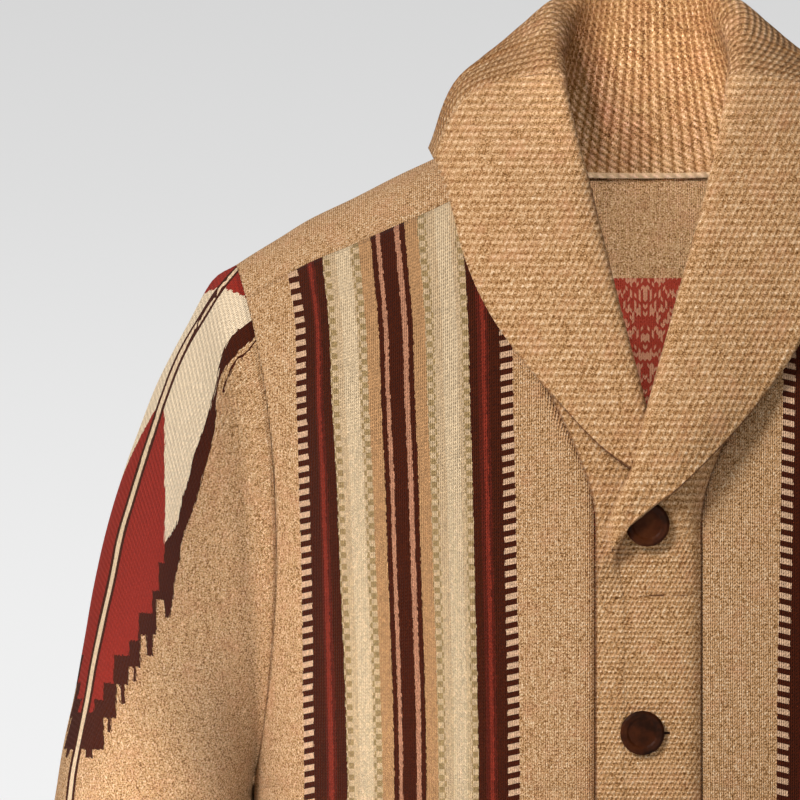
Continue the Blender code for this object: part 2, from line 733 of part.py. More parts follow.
def make_buttons(walls):
    """Turned buttons with a rim, held as if sewn through the upper band."""
    for number, (x, z) in enumerate(BUTTON_PLACES, start=1):
        bm = bmesh.new()
        chain = [bm.verts.new(Vector((r, 0, h)) * MM) for r, h in BUTTON_PROFILE]
        for a, b in zip(chain, chain[1:]):
            bm.edges.new((a, b))
        mesh = bpy.data.meshes.new(f"button_{number}")
        bm.to_mesh(mesh)
        bm.free()
        obj = bpy.data.objects.new(f"button_{number}", mesh)
        mesh.materials.append(material("horn"))
        COLLECTION.objects.link(obj)
        screw = obj.modifiers.new("Turn", "SCREW")
        screw.steps = screw.render_steps = BUTTON_SIDES
        screw.use_merge_vertices = True
        screw.merge_threshold = 0.00001
        screw.use_normal_calculate = True
        obj.rotation_euler.x = math.pi / 2
        obj.location = Vector((x, seat_y(walls, x, z) - SEAM_GAP, z)) * MM


for old in list(bpy.data.objects):
    bpy.data.objects.remove(old, do_unlink=True)
COLLECTION = bpy.data.collections.new("shawl_collar_cardigan")
bpy.context.scene.collection.children.link(COLLECTION)

FRONT_GRID, FRONT_NORMALS = front_grid()
BACK_GRID, BACK_NORMALS = back_grid()
SLEEVE_GRID = sleeve_grids()
ARMHOLE = Armhole(FRONT_NORMALS, BACK_NORMALS, SLEEVE_GRID)
NECK_EDGE = neck_edge(FRONT_GRID, FRONT_NORMALS, BACK_GRID, BACK_NORMALS)
make_body(FRONT_GRID, FRONT_NORMALS, BACK_GRID, BACK_NORMALS, ARMHOLE)
make_sleeves(SLEEVE_GRID, ARMHOLE)
make_hem("hem_back", BACK, lambda v: 0.0, HEM_BACK_RIBS, False)
make_hem("hem_front_left", FRONT, lambda v: turn_at(front_inner(v), v, FRONT), HEM_FRONT_RIBS, False)
make_hem("hem_front_right", FRONT, lambda v: turn_at(front_inner(v), v, FRONT), HEM_FRONT_RIBS, True)
make_cuffs()
make_buttons(make_strips(NECK_EDGE))
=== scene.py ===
"""Looks of a knitted shawl collar cardigan, worked over its solids.

Sizes are in millimetres until a mesh is made. The origin is the middle of the neck opening, the
front faces -Y and the wearer's right side is at -X.
"""
import functools
import math

import bmesh
import bpy
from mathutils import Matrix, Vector, noise


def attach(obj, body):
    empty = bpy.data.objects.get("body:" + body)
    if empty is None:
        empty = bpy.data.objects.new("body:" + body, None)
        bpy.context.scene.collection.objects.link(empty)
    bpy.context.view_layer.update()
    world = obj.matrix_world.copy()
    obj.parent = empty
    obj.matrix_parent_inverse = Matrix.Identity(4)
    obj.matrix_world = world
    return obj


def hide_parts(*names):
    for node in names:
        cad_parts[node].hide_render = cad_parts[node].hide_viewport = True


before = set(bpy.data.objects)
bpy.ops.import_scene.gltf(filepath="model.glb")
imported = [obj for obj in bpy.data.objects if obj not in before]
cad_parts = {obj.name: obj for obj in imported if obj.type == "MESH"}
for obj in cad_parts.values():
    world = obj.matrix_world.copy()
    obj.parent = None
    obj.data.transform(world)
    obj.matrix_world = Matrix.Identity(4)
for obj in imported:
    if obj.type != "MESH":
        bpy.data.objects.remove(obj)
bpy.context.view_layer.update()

# ---------------------------------------------------------------- sizes shared with the solids

MM = 0.001
SEAM_GAP = 0.12                 # between two pieces at a seam
# Body
WALL = 3.0                      # body and sleeve cloth
HEM_Z = -700.0
RIB_TOP_Z = -632.0              # where the hem rib starts
UNDERARM_Z = -360.0
CHEST_HALF = 213.0              # half width at the underarm
FRONT_DEPTH = 122.0
BACK_DEPTH = 105.0
ARM_FRONT_DEPTH = 72.0          # reach of the armhole to the front
ARM_BACK_DEPTH = 66.0
SECTION_POWER = 2.3             # superellipse power of a level section
ARCH_POWER = 2.4                # superellipse power of the slope up to the shoulder
ARMHOLE_BOW = 17.0              # how far the armhole curves in between its ends
SHOULDER_SEAM = 32.0            # the seam lies this many degrees in front of the ridge
FRONT, BACK = -1, 1             # sign of Y
# The shoulder ridge: distance from the middle, height
SHOULDER_RIDGE = [(0, -4), (60, -5.5), (88, -10), (123, -27.5), (155, -42), (187, -56),
                  (209, -69.5), (222, -78)]
# Below the underarm: height, half width, front depth, back depth
BODY_LEVELS = [(-700, 194, 111, 102), (-640, 202, 116, 105), (-560, 206, 120, 106),
               (-450, 208, 121, 104), (-360, 213, 122, 105)]
# The neck edge of the front: height, distance from the middle
NECK_FRONT = [(-700, 28.6), (-260, 28.6), (-216, 29), (-194, 32), (-178, 39), (-157, 50),
              (-125, 61), (-90, 71), (-60, 78), (-38, 82.5), (-22, 86), (-10, 88)]
# The neck edge of the back, one point for each row of the back: degrees from the ridge,
# distance from the middle, height
NECK_BACK = [(32, 0, -31), (23, 40, -30), (15, 64, -25), (7.5, 80, -17.5), (0, 88, -10)]
# Collar and bands: one strip each side, and a length around the back of the neck.
# A place along the neck edge is its length from the middle of the back, in hundreds of mm.
STRIP_WALL = 4.0
STRIP_RUNS = (2, 3, 2, 2, 3, 2)  # columns of the solid between the points that shape a section
STRIP_FINE = 4                  # columns here for each of them
FLATTEN_FROM, FLATTEN_TO = 2.9, 3.4  # the fold turns to face the front between these places
COLLAR_SPLIT = 1.55             # place of the seam between the back length and a lapel
BAND_FROM = 4.25                # from here down the strip is a flat band
# Around the neck: place, roll x y z, free edge x y z, share of the stand, its puff,
# puff of the fall, radius of the roll
NECK_STATIONS = [
    (0.00, 0, 66, 71, 0, 76, -36, 0.5, 1, 3, 7),
    (0.40, 26, 63, 70, 50, 72, -35, 0.5, 1, 4, 7),
    (0.65, 40, 53, 67, 80, 59, -32, 0.5, 2, 7, 8),
    (0.86, 47, 36, 60, 102, 37, -27, 0.5, 3, 12, 9),
    (1.20, 49, 4, 43, 116, 4, -16, 0.5, 4, 15, 9),
    (1.50, 47, -24, 25, 115, -26, -19, 0.5, 4, 15, 9),
    (1.77, 43.5, -45, 6, 110, -47, -31, 0.5, 4, 12, 8),
    (2.00, 39.5, -60, -13, 106, -61, -44, 0.5, 3, 9, 7),
]
# Down the chest: place, roll x z lift, edge x z lift, share of the stand, puff of the fall,
# radius of the roll. A lift is out from the chest.
LAPEL_UNDER = [
    (2.30, 31, -46, 6, 98, -76, 6, 0.5, 4, 6),
    (2.60, 21, -85, 5, 86, -103, 5, 0.5, 2, 5),
    (2.90, 11, -122, 4, 69, -128, 5, 0.5, 1, 4.5),
    (3.20, 0.5, -163, 3, 47, -154, 6, 0.5, 1, 4),
    (3.38, -5, -182, 2.5, 26, -176, 6, 0.5, 0, 4),
    (3.52, -10, -193, 1.5, 7, -190, 6, 0.5, 0, 3.5),
    (3.62, -12, -202, 0, -5, -199, 6.5, 0.5, 0, 3.5),
    (3.70, -11, -209, -1, -16, -207, 5, 0.5, 0, 3.5),
    (3.78, -10, -216, -2, -18, -214, 1, 0.5, 0, 3.5),
    (3.88, -8, -224, -2, -18, -224, -2, 0.5, 0, 4),
    (4.25, -6, -260, -2, -18, -260, -2, 0.5, 0, 4),
]
LAPEL_OVER = [
    (2.30, 31, -46, 6, 99, -76, 6, 0.5, 4, 6),
    (2.60, 21, -85, 5, 90, -105, 5, 0.5, 2, 5),
    (2.90, 11, -122, 7, 76, -130, 6, 0.5, 2, 4.5),
    (3.05, 5, -144, 12, 66, -144, 7, 0.5, 3, 4),
    (3.20, -0.5, -163, 17, 55, -158, 10, 0.45, 4, 4),
    (3.40, -7, -187, 17, 35, -180, 15, 0.42, 3, 4),
    (3.60, -14, -202, 15.5, 16.5, -198.5, 19, 0.36, 1, 4),
    (3.78, -19, -215, 12.5, 0.5, -210, 18.5, 0.28, 0, 4),
    (3.94, -20, -229, 9, -13, -222, 16, 0.25, 0, 5),
    (4.09, -17, -243, 4.7, -25, -237, 9.5, 0.25, 0, 5),
    (4.25, -14, -260, 3.3, -27.3, -260, 3.3, 0.25, 0, 4),
]
# Sleeves: outer edge x z, inner edge x z, half depth, middle y; the first row is the armhole
SLEEVE_RINGS = [
    (235, -86.5, 213.6, -361, 64, 0), (247, -108, 214.5, -363, 65, 0),
    (259, -130, 215.5, -366, 65.5, 0), (273, -162, 217, -369, 66, 0),
    (287.5, -205, 219, -373, 65.5, 1), (298, -248, 221, -379, 64, 2),
    (308, -302, 223.5, -388, 62.5, 3), (319, -356, 228, -402, 61, 4),
    (328, -412, 234, -436, 60, 4), (335, -470, 243, -486, 58.5, 2),
    (340, -530, 252, -540, 56, -4), (342, -590, 261, -595, 52, -14),
    (341, -620, 267, -622, 48, -20), (337, -635.6, 273, -637.6, 37, -24),
]
CUFF_TOP = (336, -636.5, 274, -638.5, 36, -24)
CUFF_END = (332, -702, 268, -704, 35, -36)
CUFF_RIBS = 26
HEM_BACK_RIBS = 52
HEM_FRONT_RIBS = 24
RIB_HEIGHT = 1.6
# Rows above the underarm, in degrees around the armhole from the shoulder ridge
ARM_DEGREES = [180, 160, 140, 122, 109, 98, 88, 76, 62, 46, 32, 23, 15, 7.5, 0]
BODY_HEIGHTS = [-560, -490, -425]
NECK_TRIES = 30                 # to find where a row of the front meets its neck edge
SEAM_LIFT = 0.5                 # share of the strip's wall that clears the panel at its seam
BUTTON_COUNT = 5


def smooth_table(table, key):
    """Read a table at a key with a curve through its rows; the first column is the key."""
    last = len(table) - 2
    i = 0
    while i < last and key > table[i + 1][0]:
        i += 1
    before, start, end, after = (table[min(max(k, 0), last + 1)] for k in (i - 1, i, i + 1, i + 2))
    span = end[0] - start[0]
    f = min(max((key - start[0]) / span, 0.0), 1.0)
    values = []
    for c in range(1, len(start)):
        rise = (end[c] - start[c]) / span
        low = (start[c] - before[c]) / (start[0] - before[0]) if before is not start else rise
        high = (after[c] - end[c]) / (after[0] - end[0]) if after is not end else rise
        slope_start = 0.5 * (low + rise) * span
        slope_end = 0.5 * (high + rise) * span
        limit = 3.0 * abs(end[c] - start[c])
        slope_start = max(-limit, min(limit, slope_start))
        slope_end = max(-limit, min(limit, slope_end))
        values.append((2 * f**3 - 3 * f**2 + 1) * start[c] + (f**3 - 2 * f**2 + f) * slope_start
                      + (3 * f**2 - 2 * f**3) * end[c] + (f**3 - f**2) * slope_end)
    return values


def ridge_z(x):
    return smooth_table(SHOULDER_RIDGE, abs(x))[0]


def arch(w):
    """Depth left at w of the way up from the underarm to the shoulder."""
    return max(0.0, 1.0 - w**ARCH_POWER) ** (1.0 / ARCH_POWER)


def way_up(degrees):
    return 0.5 * (1.0 + math.cos(math.radians(degrees)))


def level(v, face):
    """Half width and depth of the body at v: 0 underarm, 1 shoulder, under 0 a height below."""
    if v < 0:
        half, front, back = smooth_table(BODY_LEVELS, UNDERARM_Z + v)
        return half, front if face == FRONT else back
    depth = FRONT_DEPTH if face == FRONT else BACK_DEPTH
    reach = ARM_FRONT_DEPTH if face == FRONT else ARM_BACK_DEPTH
    share = reach / depth * arch(1.0 - v)
    half = armhole_x(v) / (1.0 - share**SECTION_POWER) ** (1.0 / SECTION_POWER)
    return half, depth * arch(v)


def armhole_x(w):
    top = SHOULDER_RIDGE[-1][0]
    return CHEST_HALF + (top - CHEST_HALF) * w - 4.0 * ARMHOLE_BOW * w * (1.0 - w)


def body_point(v, turn, face):
    """A point of the body's outside, turned from the middle (0) to the side (90 degrees)."""
    half, depth = level(v, face)
    x = half * math.sin(turn) ** (2.0 / SECTION_POWER)
    y = face * depth * max(0.0, math.cos(turn)) ** (2.0 / SECTION_POWER)
    z = UNDERARM_Z + (v if v < 0 else v * (ridge_z(x) - UNDERARM_Z))
    return Vector((x, y, z))


def body_normal(v, turn, face):
    """The outward direction at a point of the body's outside."""
    step = 1.0 if v < 0 else 1e-4
    low, high = max(v - step, 0.0), min(v + step, 1.0)
    if v < 0:
        low, high = v - step, min(v + step, -1e-6)
    up = body_point(high, turn, face) - body_point(low, turn, face)
    spread = 1e-3
    across = (body_point(v, min(turn + spread, math.pi / 2), face)
              - body_point(v, max(turn - spread, 0.0), face))
    normal = across.cross(up).normalized()
    return normal if face == FRONT else -normal


def turn_at(x, v, face):
    half, _ = level(v, face)
    return math.asin(min(1.0, (x / half) ** (SECTION_POWER / 2.0)))


def chest_point(x, z, lift):
    """A point in front of the chest, lifted off its outside."""
    span = ridge_z(x) - UNDERARM_Z
    v = (z - UNDERARM_Z) / span if z > UNDERARM_Z else z - UNDERARM_Z
    point = body_point(v, turn_at(abs(x), v, FRONT), FRONT)
    return Vector((x, point.y - lift, z))


def neck_x(z):
    return smooth_table(NECK_FRONT, z)[0]


def front_inner(v):
    """Where a row of the front meets its neck or band edge."""
    if v < 0:
        return neck_x(UNDERARM_Z + v)
    x = neck_x(UNDERARM_Z)
    for _ in range(NECK_TRIES):
        x = neck_x(UNDERARM_Z + v * (ridge_z(x) - UNDERARM_Z))
    return x


def side_turn(v, face):
    if v < 0:
        return math.pi / 2
    return turn_at(armhole_x(v), v, face)


def ring(outer_x, outer_z, inner_x, inner_z, depth, middle_y, degrees):
    """A sleeve ring as points at the given degrees, 0 outside and 90 in front."""
    outside = Vector((outer_x, middle_y, outer_z))
    inside = Vector((inner_x, middle_y, inner_z))
    points = []
    for angle in degrees:
        along = way_up(angle)
        point = inside.lerp(outside, along)
        point.y -= depth * math.sin(math.radians(angle))
        points.append(point)
    return points


def section_sizes(place, seam_z, lapel):
    """Roll, free edge and the sizes that shape the section at a place."""
    if place >= BAND_FROM:
        _, roll_x, _, roll_lift, edge_x, _, edge_lift, share, _, radius = lapel[-1]
        return (chest_point(roll_x, seam_z, roll_lift), chest_point(edge_x, seam_z, edge_lift),
                share, 0.0, 0.0, radius)
    table = list(NECK_STATIONS)
    for along, roll_x, roll_z, roll_lift, edge_x, edge_z, edge_lift, share, puff, radius in lapel:
        roll = chest_point(roll_x, roll_z, roll_lift)
        edge = chest_point(edge_x, edge_z, edge_lift)
        table.append((along, *roll, *edge, share, 0, puff, radius))
    values = smooth_table(table, place)
    return (Vector(values[:3]), Vector(values[3:6]), *values[6:])


def spline_point(points, run, f):
    """A point on a smooth curve through a few points, f of the way along one run."""
    start, end = points[run], points[run + 1]
    before = points[run - 1] if run > 0 else start * 2 - end
    after = points[run + 2] if run + 2 < len(points) else end * 2 - start
    return (start * 2 + (end - before) * f + (before * 2 - start * 5 + end * 4 - after) * f * f
            + (start * 3 - end * 3 + after - before) * f**3) * 0.5


def strip_section(place, seam, out, normal, lapel):
    """Mid-wall points across the strip, from its seam over the roll to the free edge."""
    roll, edge, share, puff_in, puff_out, radius = section_sizes(place, seam.z, lapel)
    up = (roll - (seam + edge) * 0.5).normalized()
    away = edge - seam
    away -= up * away.dot(up)
    forward = Vector((0, -1, 0))
    flat = min(1.0, max(0.0, (place - FLATTEN_FROM) / (FLATTEN_TO - FLATTEN_FROM)))
    away = away.normalized().lerp(forward, flat).normalized()
    back = (seam - roll).normalized()
    front = (edge - roll).normalized()
    folded = 0.5 * (1.0 + back.dot(front))
    before = roll + (back - away * folded) * radius
    after = roll + (front + away * folded) * min(radius, 0.4 * (edge - roll).length)
    stand = seam.lerp(before, share) - away * puff_in
    if lapel is LAPEL_OVER:
        # the upper strip climbs over the lower one soon after its seam
        stand.y += (before.y - stand.y) * flat
    slope = abs((stand - seam).normalized().dot(normal))
    start = seam + out * (SEAM_GAP + SEAM_LIFT * STRIP_WALL * slope)
    fall = after.lerp(edge, 0.5) + away * puff_out
    points = [start, stand, before, roll, after, fall, edge]
    fine = [count * STRIP_FINE for count in STRIP_RUNS]
    section = [spline_point(points, run, c / count) for run, count in enumerate(fine)
               for c in range(count)]
    return section + [edge]


# ---------------------------------------------------------------- cloth from rows of points

def pushed(rows, amount, closed=False):
    """Rows moved along their own normal, across x up, by amount(row, column) in mm."""
    last_row, last_col = len(rows) - 1, len(rows[0]) - 1
    moved = []
    for r, row in enumerate(rows):
        line = []
        for c, point in enumerate(row):
            up = rows[min(r + 1, last_row)][c] - rows[max(r - 1, 0)][c]
            if closed:
                across = row[1 if c == last_col else c + 1] - row[last_col - 1 if c == 0 else c - 1]
            else:
                across = row[min(c + 1, last_col)] - row[max(c - 1, 0)]
            normal = across.cross(up).normalized()
            line.append(point + normal * amount(r, c))
        moved.append(line)
    return moved


def lengths(rows, first=None):
    """Cloth places in metres: the length along each row, and the mean length up the rows."""
    places, height = [], 0.0
    for r, row in enumerate(rows):
        if r:
            steps = [(p - q).length for p, q in zip(row, rows[r - 1])]
            height += sum(steps) / len(steps)
        along = first[r] if first else 0.0
        line = [(along * MM, height * MM)]
        for p, q in zip(row, row[1:]):
            along += (q - p).length
            line.append((along * MM, height * MM))
        places.append(line)
    return places


def cloth(name, rows, maps, finish, nodes, wall=WALL, offset=-1.0, closed=False, mirror=False,
          flip=False):
    """A knitted piece: a grid laid on rows of points in mm, given its wall and its UV maps."""
    high, wide = len(rows) - 1, len(rows[0]) - 1
    bm = bmesh.new()
    bmesh.ops.create_grid(bm, x_segments=wide, y_segments=high, size=0.5)
    place = {v: (round((v.co.y + 0.5) * high), round((v.co.x + 0.5) * wide)) for v in bm.verts}
    for map_name, table in maps.items():
        layer = bm.loops.layers.uv.new(map_name)
        for face in bm.faces:
            for loop in face.loops:
                r, c = place[loop.vert]
                loop[layer].uv = table[r][c]
    sign = -1.0 if mirror else 1.0
    for vert, (r, c) in place.items():
        p = rows[r][c]
        vert.co = Vector((p.x * sign, p.y, p.z)) * MM
    if mirror != flip:
        bmesh.ops.reverse_faces(bm, faces=bm.faces)
    if closed:
        bmesh.ops.remove_doubles(bm, verts=bm.verts, dist=1e-6)
    mesh = bpy.data.meshes.new(name)
    bm.to_mesh(mesh)
    bm.free()
    for polygon in mesh.polygons:
        polygon.use_smooth = True
    piece = bpy.data.objects.new(name, mesh)
    bpy.context.scene.collection.objects.link(piece)
    mesh.materials.append(finish)
    solid = piece.modifiers.new("Wall", "SOLIDIFY")
    solid.thickness = wall * MM
    solid.offset = offset
    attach(piece, "root")
    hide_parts(*nodes)
    return piece


# ---------------------------------------------------------------- body

# How far the stripes spread from the middle, against their places at mid height: height, share
# of the stripes that run over the chest, share of the last one beside the armhole
STRIPE_SPREAD = [(-700, 0.955, 0.975), (-362, 0.964, 0.979), (-329, 0.968, 0.981),
                 (-297, 0.973, 0.984), (-265, 0.981, 0.988), (-232, 0.991, 0.994), (-194, 1.0, 1.0),
                 (-167, 1.009, 1.003), (-146, 1.0155, 1.005), (-113, 1.0235, 1.006),
                 (-81, 1.042, 1.03), (-60, 1.057, 1.05)]
CHEST_STRIPES_TO, LAST_STRIPE_FROM = 168.0, 183.5
PANEL_COLUMNS = 64              # across a front, and across half of the back
LOW_ROWS, FRONT_ROWS, BACK_ROWS, YOKE_ROWS = 64, 84, 100, 18  # below the underarm, above it, on the yoke
TUCK, TUCK_Z, TUCK_REACH = 1.7, -161.0, 13.0  # the front's edge runs under the lapel by this much
SEAM_SINK, SINK_WIDTH = 0.7, 2.2  # the front sinks towards its seam with the band
# Unevenness of the cloth: height, size, seed
FRONT_RIPPLES, BACK_RIPPLES = ((1.2, 90.0, 0), (0.5, 34.0, 7)), ((1.3, 95.0, 40), (0.5, 36.0, 47))
SLEEVE_RIPPLES = ((1.1, 80.0, 11), (0.6, 30.0, 17))
# Folds beside the armhole: depth, height where it is deepest, reach up and down from there,
# distance from the middle at FOLD_Z, lean, width
FOLD_Z = -200
FRONT_FOLD = (2.4, -190, 150.0, 186, 0.05, 9.0)
BACK_FOLD = (2.6, -200, 150.0, 184, 0.06, 10.0)
SLEEVE_FOLD = (3.0, -210, 120.0, 216.5, 0.03, 6.0)


def stripe_places(rows):
    """Pattern places in metres: the distance from the middle, as the stripes spread, and height."""
    places = []
    for row in rows:
        line = []
        for p in row:
            chest, last = smooth_table(STRIPE_SPREAD, p.z)
            inner, outer = CHEST_STRIPES_TO * chest, LAST_STRIPE_FROM * last
            x = abs(p.x)
            if x < inner:
                x /= chest
            elif x > outer:
                x /= last
            else:
                gap = LAST_STRIPE_FROM - CHEST_STRIPES_TO
                x = CHEST_STRIPES_TO + gap * (x - inner) / (outer - inner)
            line.append((x * MM, p.z * MM))
        places.append(line)
    return places


def panel(v_inner, x_inner, v_outer, outer_turn, face):
    """A row of points from the middle or the neck edge out to the side."""
    inner_turn = turn_at(x_inner, v_inner, face)
    return [body_point(v_inner + (v_outer - v_inner) * c / PANEL_COLUMNS,
                       inner_turn + (outer_turn - inner_turn) * c / PANEL_COLUMNS, face)
            for c in range(PANEL_COLUMNS + 1)]


def body_maps(rows):
    """The cloth and stripe maps of a front or of the back."""
    return {"cloth": lengths(rows, [row[0].x for row in rows]), "stripes": stripe_places(rows)}


def row_places(below, above, top_degrees):
    """Places of the rows: heights under the underarm, then degrees around the armhole."""
    low = RIB_TOP_Z + SEAM_GAP - UNDERARM_Z
    return ([low * (1.0 - i / below) for i in range(below)],
            [180.0 - (180.0 - top_degrees) * i / above for i in range(above + 1)])


def ripple(p, size, seed):
    """A soft unevenness from -1 to 1, of the given size in mm."""
    return noise.noise(Vector((p.x / size + seed, p.y / size, p.z / size)))


def rippled(p, ripples, seed=0):
    return sum(height * ripple(p, size, seed + more) for height, size, more in ripples)


def trough(distance, width):
    return -math.exp(-(distance / width) ** 2)


def arm_fold(p, depth, deepest, reach, x, lean, width):
    """Lift of a soft fold that runs down beside the armhole."""
    near = max(0.0, 1.0 - abs(p.z - deepest) / reach)
    return depth * near * trough(p.x - x - lean * (p.z - FOLD_Z), width)


def front_rows():
    below, above = row_places(LOW_ROWS, FRONT_ROWS, SHOULDER_SEAM)
    rows = [panel(v, front_inner(v), v, math.pi / 2, FRONT) for v in below]
    for degrees in above:
        v = way_up(degrees)
        rows.append(panel(v, front_inner(v), v, side_turn(v, FRONT), FRONT))
    return rows


def shoulder_fullness(p):
    """The shoulder stands a little fuller halfway between neck and armhole."""
    return 2.0 * (math.exp(-((p.x - 128.0) / 30.0) ** 2)
                  * math.exp(-((p.z - ridge_z(p.x)) / 45.0) ** 2))


def front_relief(rows, seed):
    """Creases of a front: soft pulls by the armhole, waves near the waist, a sunk band seam."""
    def amount(r, c):
        p = rows[r][c]
        edge = (p - rows[r][0]).length
        lift = rippled(p, FRONT_RIPPLES, seed)
        side = (p - rows[r][-1]).length
        lift *= min(1.0, edge / 40.0, side / 30.0, (len(rows) - 1 - r) / 8.0)
        lift += arm_fold(p, *FRONT_FOLD)
        lift += shoulder_fullness(p)
        return lift + SEAM_SINK * trough(edge, SINK_WIDTH)
    rows = pushed(rows, amount)
    # the edge runs a little further under the strip where the lapel begins to lift off it
    for row in rows:
        tuck = TUCK * math.exp(-((row[0].z - TUCK_Z) / TUCK_REACH) ** 2)
        row[0] += (row[0] - row[1]).normalized() * tuck
    return rows


def back_rows():
    below, above = row_places(LOW_ROWS, BACK_ROWS, 0.0)
    rows = [panel(v, 0.0, v, math.pi / 2, BACK) for v in below]
    neck = [(degrees, x, z) for degrees, x, z in reversed(NECK_BACK)]
    for degrees in above:
        v = way_up(degrees)
        x, v_inner = 0.0, v
        if degrees < neck[-1][0]:
            x, z = smooth_table(neck, degrees)
            v_inner = (z - UNDERARM_Z) / (ridge_z(x) - UNDERARM_Z)
        rows.append(panel(v_inner, x, v, side_turn(v, BACK), BACK))
    for i in range(1, YOKE_ROWS + 1):
        v = way_up(SHOULDER_SEAM * i / YOKE_ROWS)
        rows.append(panel(v, front_inner(v), v, side_turn(v, FRONT), FRONT))
    for point, before in zip(rows[-1], rows[-2]):
        point += (before - point).normalized() * SEAM_GAP
    return rows


def back_relief(rows):
    def amount(r, c):
        p = rows[r][c]
        lift = rippled(p, BACK_RIPPLES) + arm_fold(p, *BACK_FOLD)
        side = (p - rows[r][-1]).length
        lift *= min(1.0, p.x / 30.0, side / 30.0, (len(rows) - 1 - r) / 8.0)
        lift += shoulder_fullness(p)
        return -lift
    return pushed(rows, amount)


# ---------------------------------------------------------------- sleeves

SLEEVE_COLUMNS = 104
SLEEVE_MIDDLE = SLEEVE_COLUMNS // 2
SLEEVE_ROW = 3.6                # mm from row to row
ARMHOLE_FADE = ((1, 0.7), (2, 0.42), (3, 0.2), (4, 0.07))  # ring, share of the armhole's bow it keeps
# The middle line of the sleeve's motif, seen from the front: height, distance from the middle
MOTIF_LINE = [(-700, 322), (-640, 324), (-560, 327), (-480, 324), (-420, 317.5), (-356, 310.5),
              (-335, 306.2), (-313, 301.9), (-292, 298.1), (-270, 293.8), (-248, 288.9),
              (-216, 281.9), (-189, 273.8), (-167, 266.8), (-151, 261.4), (-127, 252.2),
              (-108, 241.4), (-94.5, 233.3), (-80, 221.4), (-60, 200)]
# Reach of the pale lozenge and of its dark edge from that line: height, pale, dark
LOZENGE = [(-700, 0, 0), (-330, 6, 20), (-280, 8, 34), (-259, 10, 36), (-248, 12, 34),
           (-237.6, 18, 34.6), (-229, 24, 33.5), (-223.6, 26.7, 33.5), (-216.5, 28.6, 34.6),
           (-203, 27.5, 35.4), (-196, 28, 35.1), (-182, 26.5, 34.6), (-168, 27, 33.8),
           (-154, 27, 30), (-146, 26.4, 27.6), (-139.3, 25.4, 27.2), (-129.6, 23, 27.5),
           (-125.8, 22.3, 31.3), (-117.2, 22.1, 34.3), (-114.5, 22.1, 37), (-108.5, 27, 50),
           (-104, 45, 70), (-60, 60, 90)]
# Creases at the elbow and over the cuff: height, slope across the sleeve, depth
SLEEVE_PULLS = [(-420, 0.35, 3.0), (-448, 0.3, 2.2), (-482, 0.5, 1.6), (-588, 0.2, 2.6),
                (-612, 0.15, 2.4)]


def armhole_points(degrees):
    points = []
    for angle in degrees:
        face = BACK if angle < 0 else FRONT
        v = way_up(angle)
        points.append(body_point(v, side_turn(v, face), face))
    return points


def sleeve_rows():
    degrees = [-180.0 + 360.0 * c / SLEEVE_COLUMNS for c in range(SLEEVE_COLUMNS + 1)]
    rings = [armhole_points(degrees)] + [ring(*row, degrees) for row in SLEEVE_RINGS]
    for r, share in ARMHOLE_FADE:
        for i, angle in enumerate(degrees):
            rings[r][i].x -= share * 4.0 * ARMHOLE_BOW * way_up(angle) * (1.0 - way_up(angle))
    rings[0] = [p + (q - p).normalized() * SEAM_GAP for p, q in zip(rings[0], rings[1])]
    columns = [[ring_points[i] for ring_points in rings] for i in range(len(degrees))]
    rows = []
    for run in range(len(rings) - 1):
        length = (rings[run + 1][SLEEVE_MIDDLE] - rings[run][SLEEVE_MIDDLE]).length
        steps = max(3, round(length / SLEEVE_ROW))
        for s in range(steps):
            rows.append([spline_point(column, run, s / steps) for column in columns])
    rows.append(rings[-1])
    return rows


def motif_places(rows):
    """Pattern places of the sleeve in metres, the same to both sides of the motif's line.

    Maps: distance from the middle and height; reach beyond the pale lozenge and beyond its dark
    edge; distance from the line.
    """
    last = SLEEVE_COLUMNS - 24      # the line lies before this column
    spots, edges, line_map = [], [], []
    for row in rows:
        here = float(SLEEVE_MIDDLE)
        for c in range(SLEEVE_MIDDLE, last):
            gap = row[c].x - smooth_table(MOTIF_LINE, row[c].z)[0]
            ahead = row[c + 1].x - smooth_table(MOTIF_LINE, row[c + 1].z)[0]
            if gap >= 0 > ahead:
                here = c + gap / (gap - ahead)
                break
        low = int(here)
        around = [0.0]
        for p, q in zip(row, row[1:]):
            around.append(around[-1] + (q - p).length)
        zero = around[low] + (around[low + 1] - around[low]) * (here - low)
        front = [(around[c] - zero, smooth_table(MOTIF_LINE, row[c].z)[0] - row[c].x)
                 for c in range(low + 1, SLEEVE_COLUMNS + 1)]
        front = [(0.0, 0.0)] + [f for f in front if f[0] > 0.01]
        spot_row, edge_row, line_row = [], [], []
        for c, point in enumerate(row):
            # the front's own distance, or the same one at the same length around to the back
            reach = abs(around[c] - zero)
            distance = front[-1][1]
            for (a, d), (b, e) in zip(front, front[1:]):
                if reach <= b:
                    distance = d + (e - d) * (reach - a) / (b - a)
                    break
            pale, dark = smooth_table(LOZENGE, point.z)
            centre = smooth_table(MOTIF_LINE, point.z)[0]
            spot_row.append(((centre - distance) * MM, point.z * MM))
            edge_row.append(((distance - pale) * MM, (distance - dark) * MM))
            line_row.append((distance * MM, point.z * MM))
        spots.append(spot_row)
        edges.append(edge_row)
        line_map.append(line_row)
    return {"motif": spots, "edges": edges, "line": line_map}


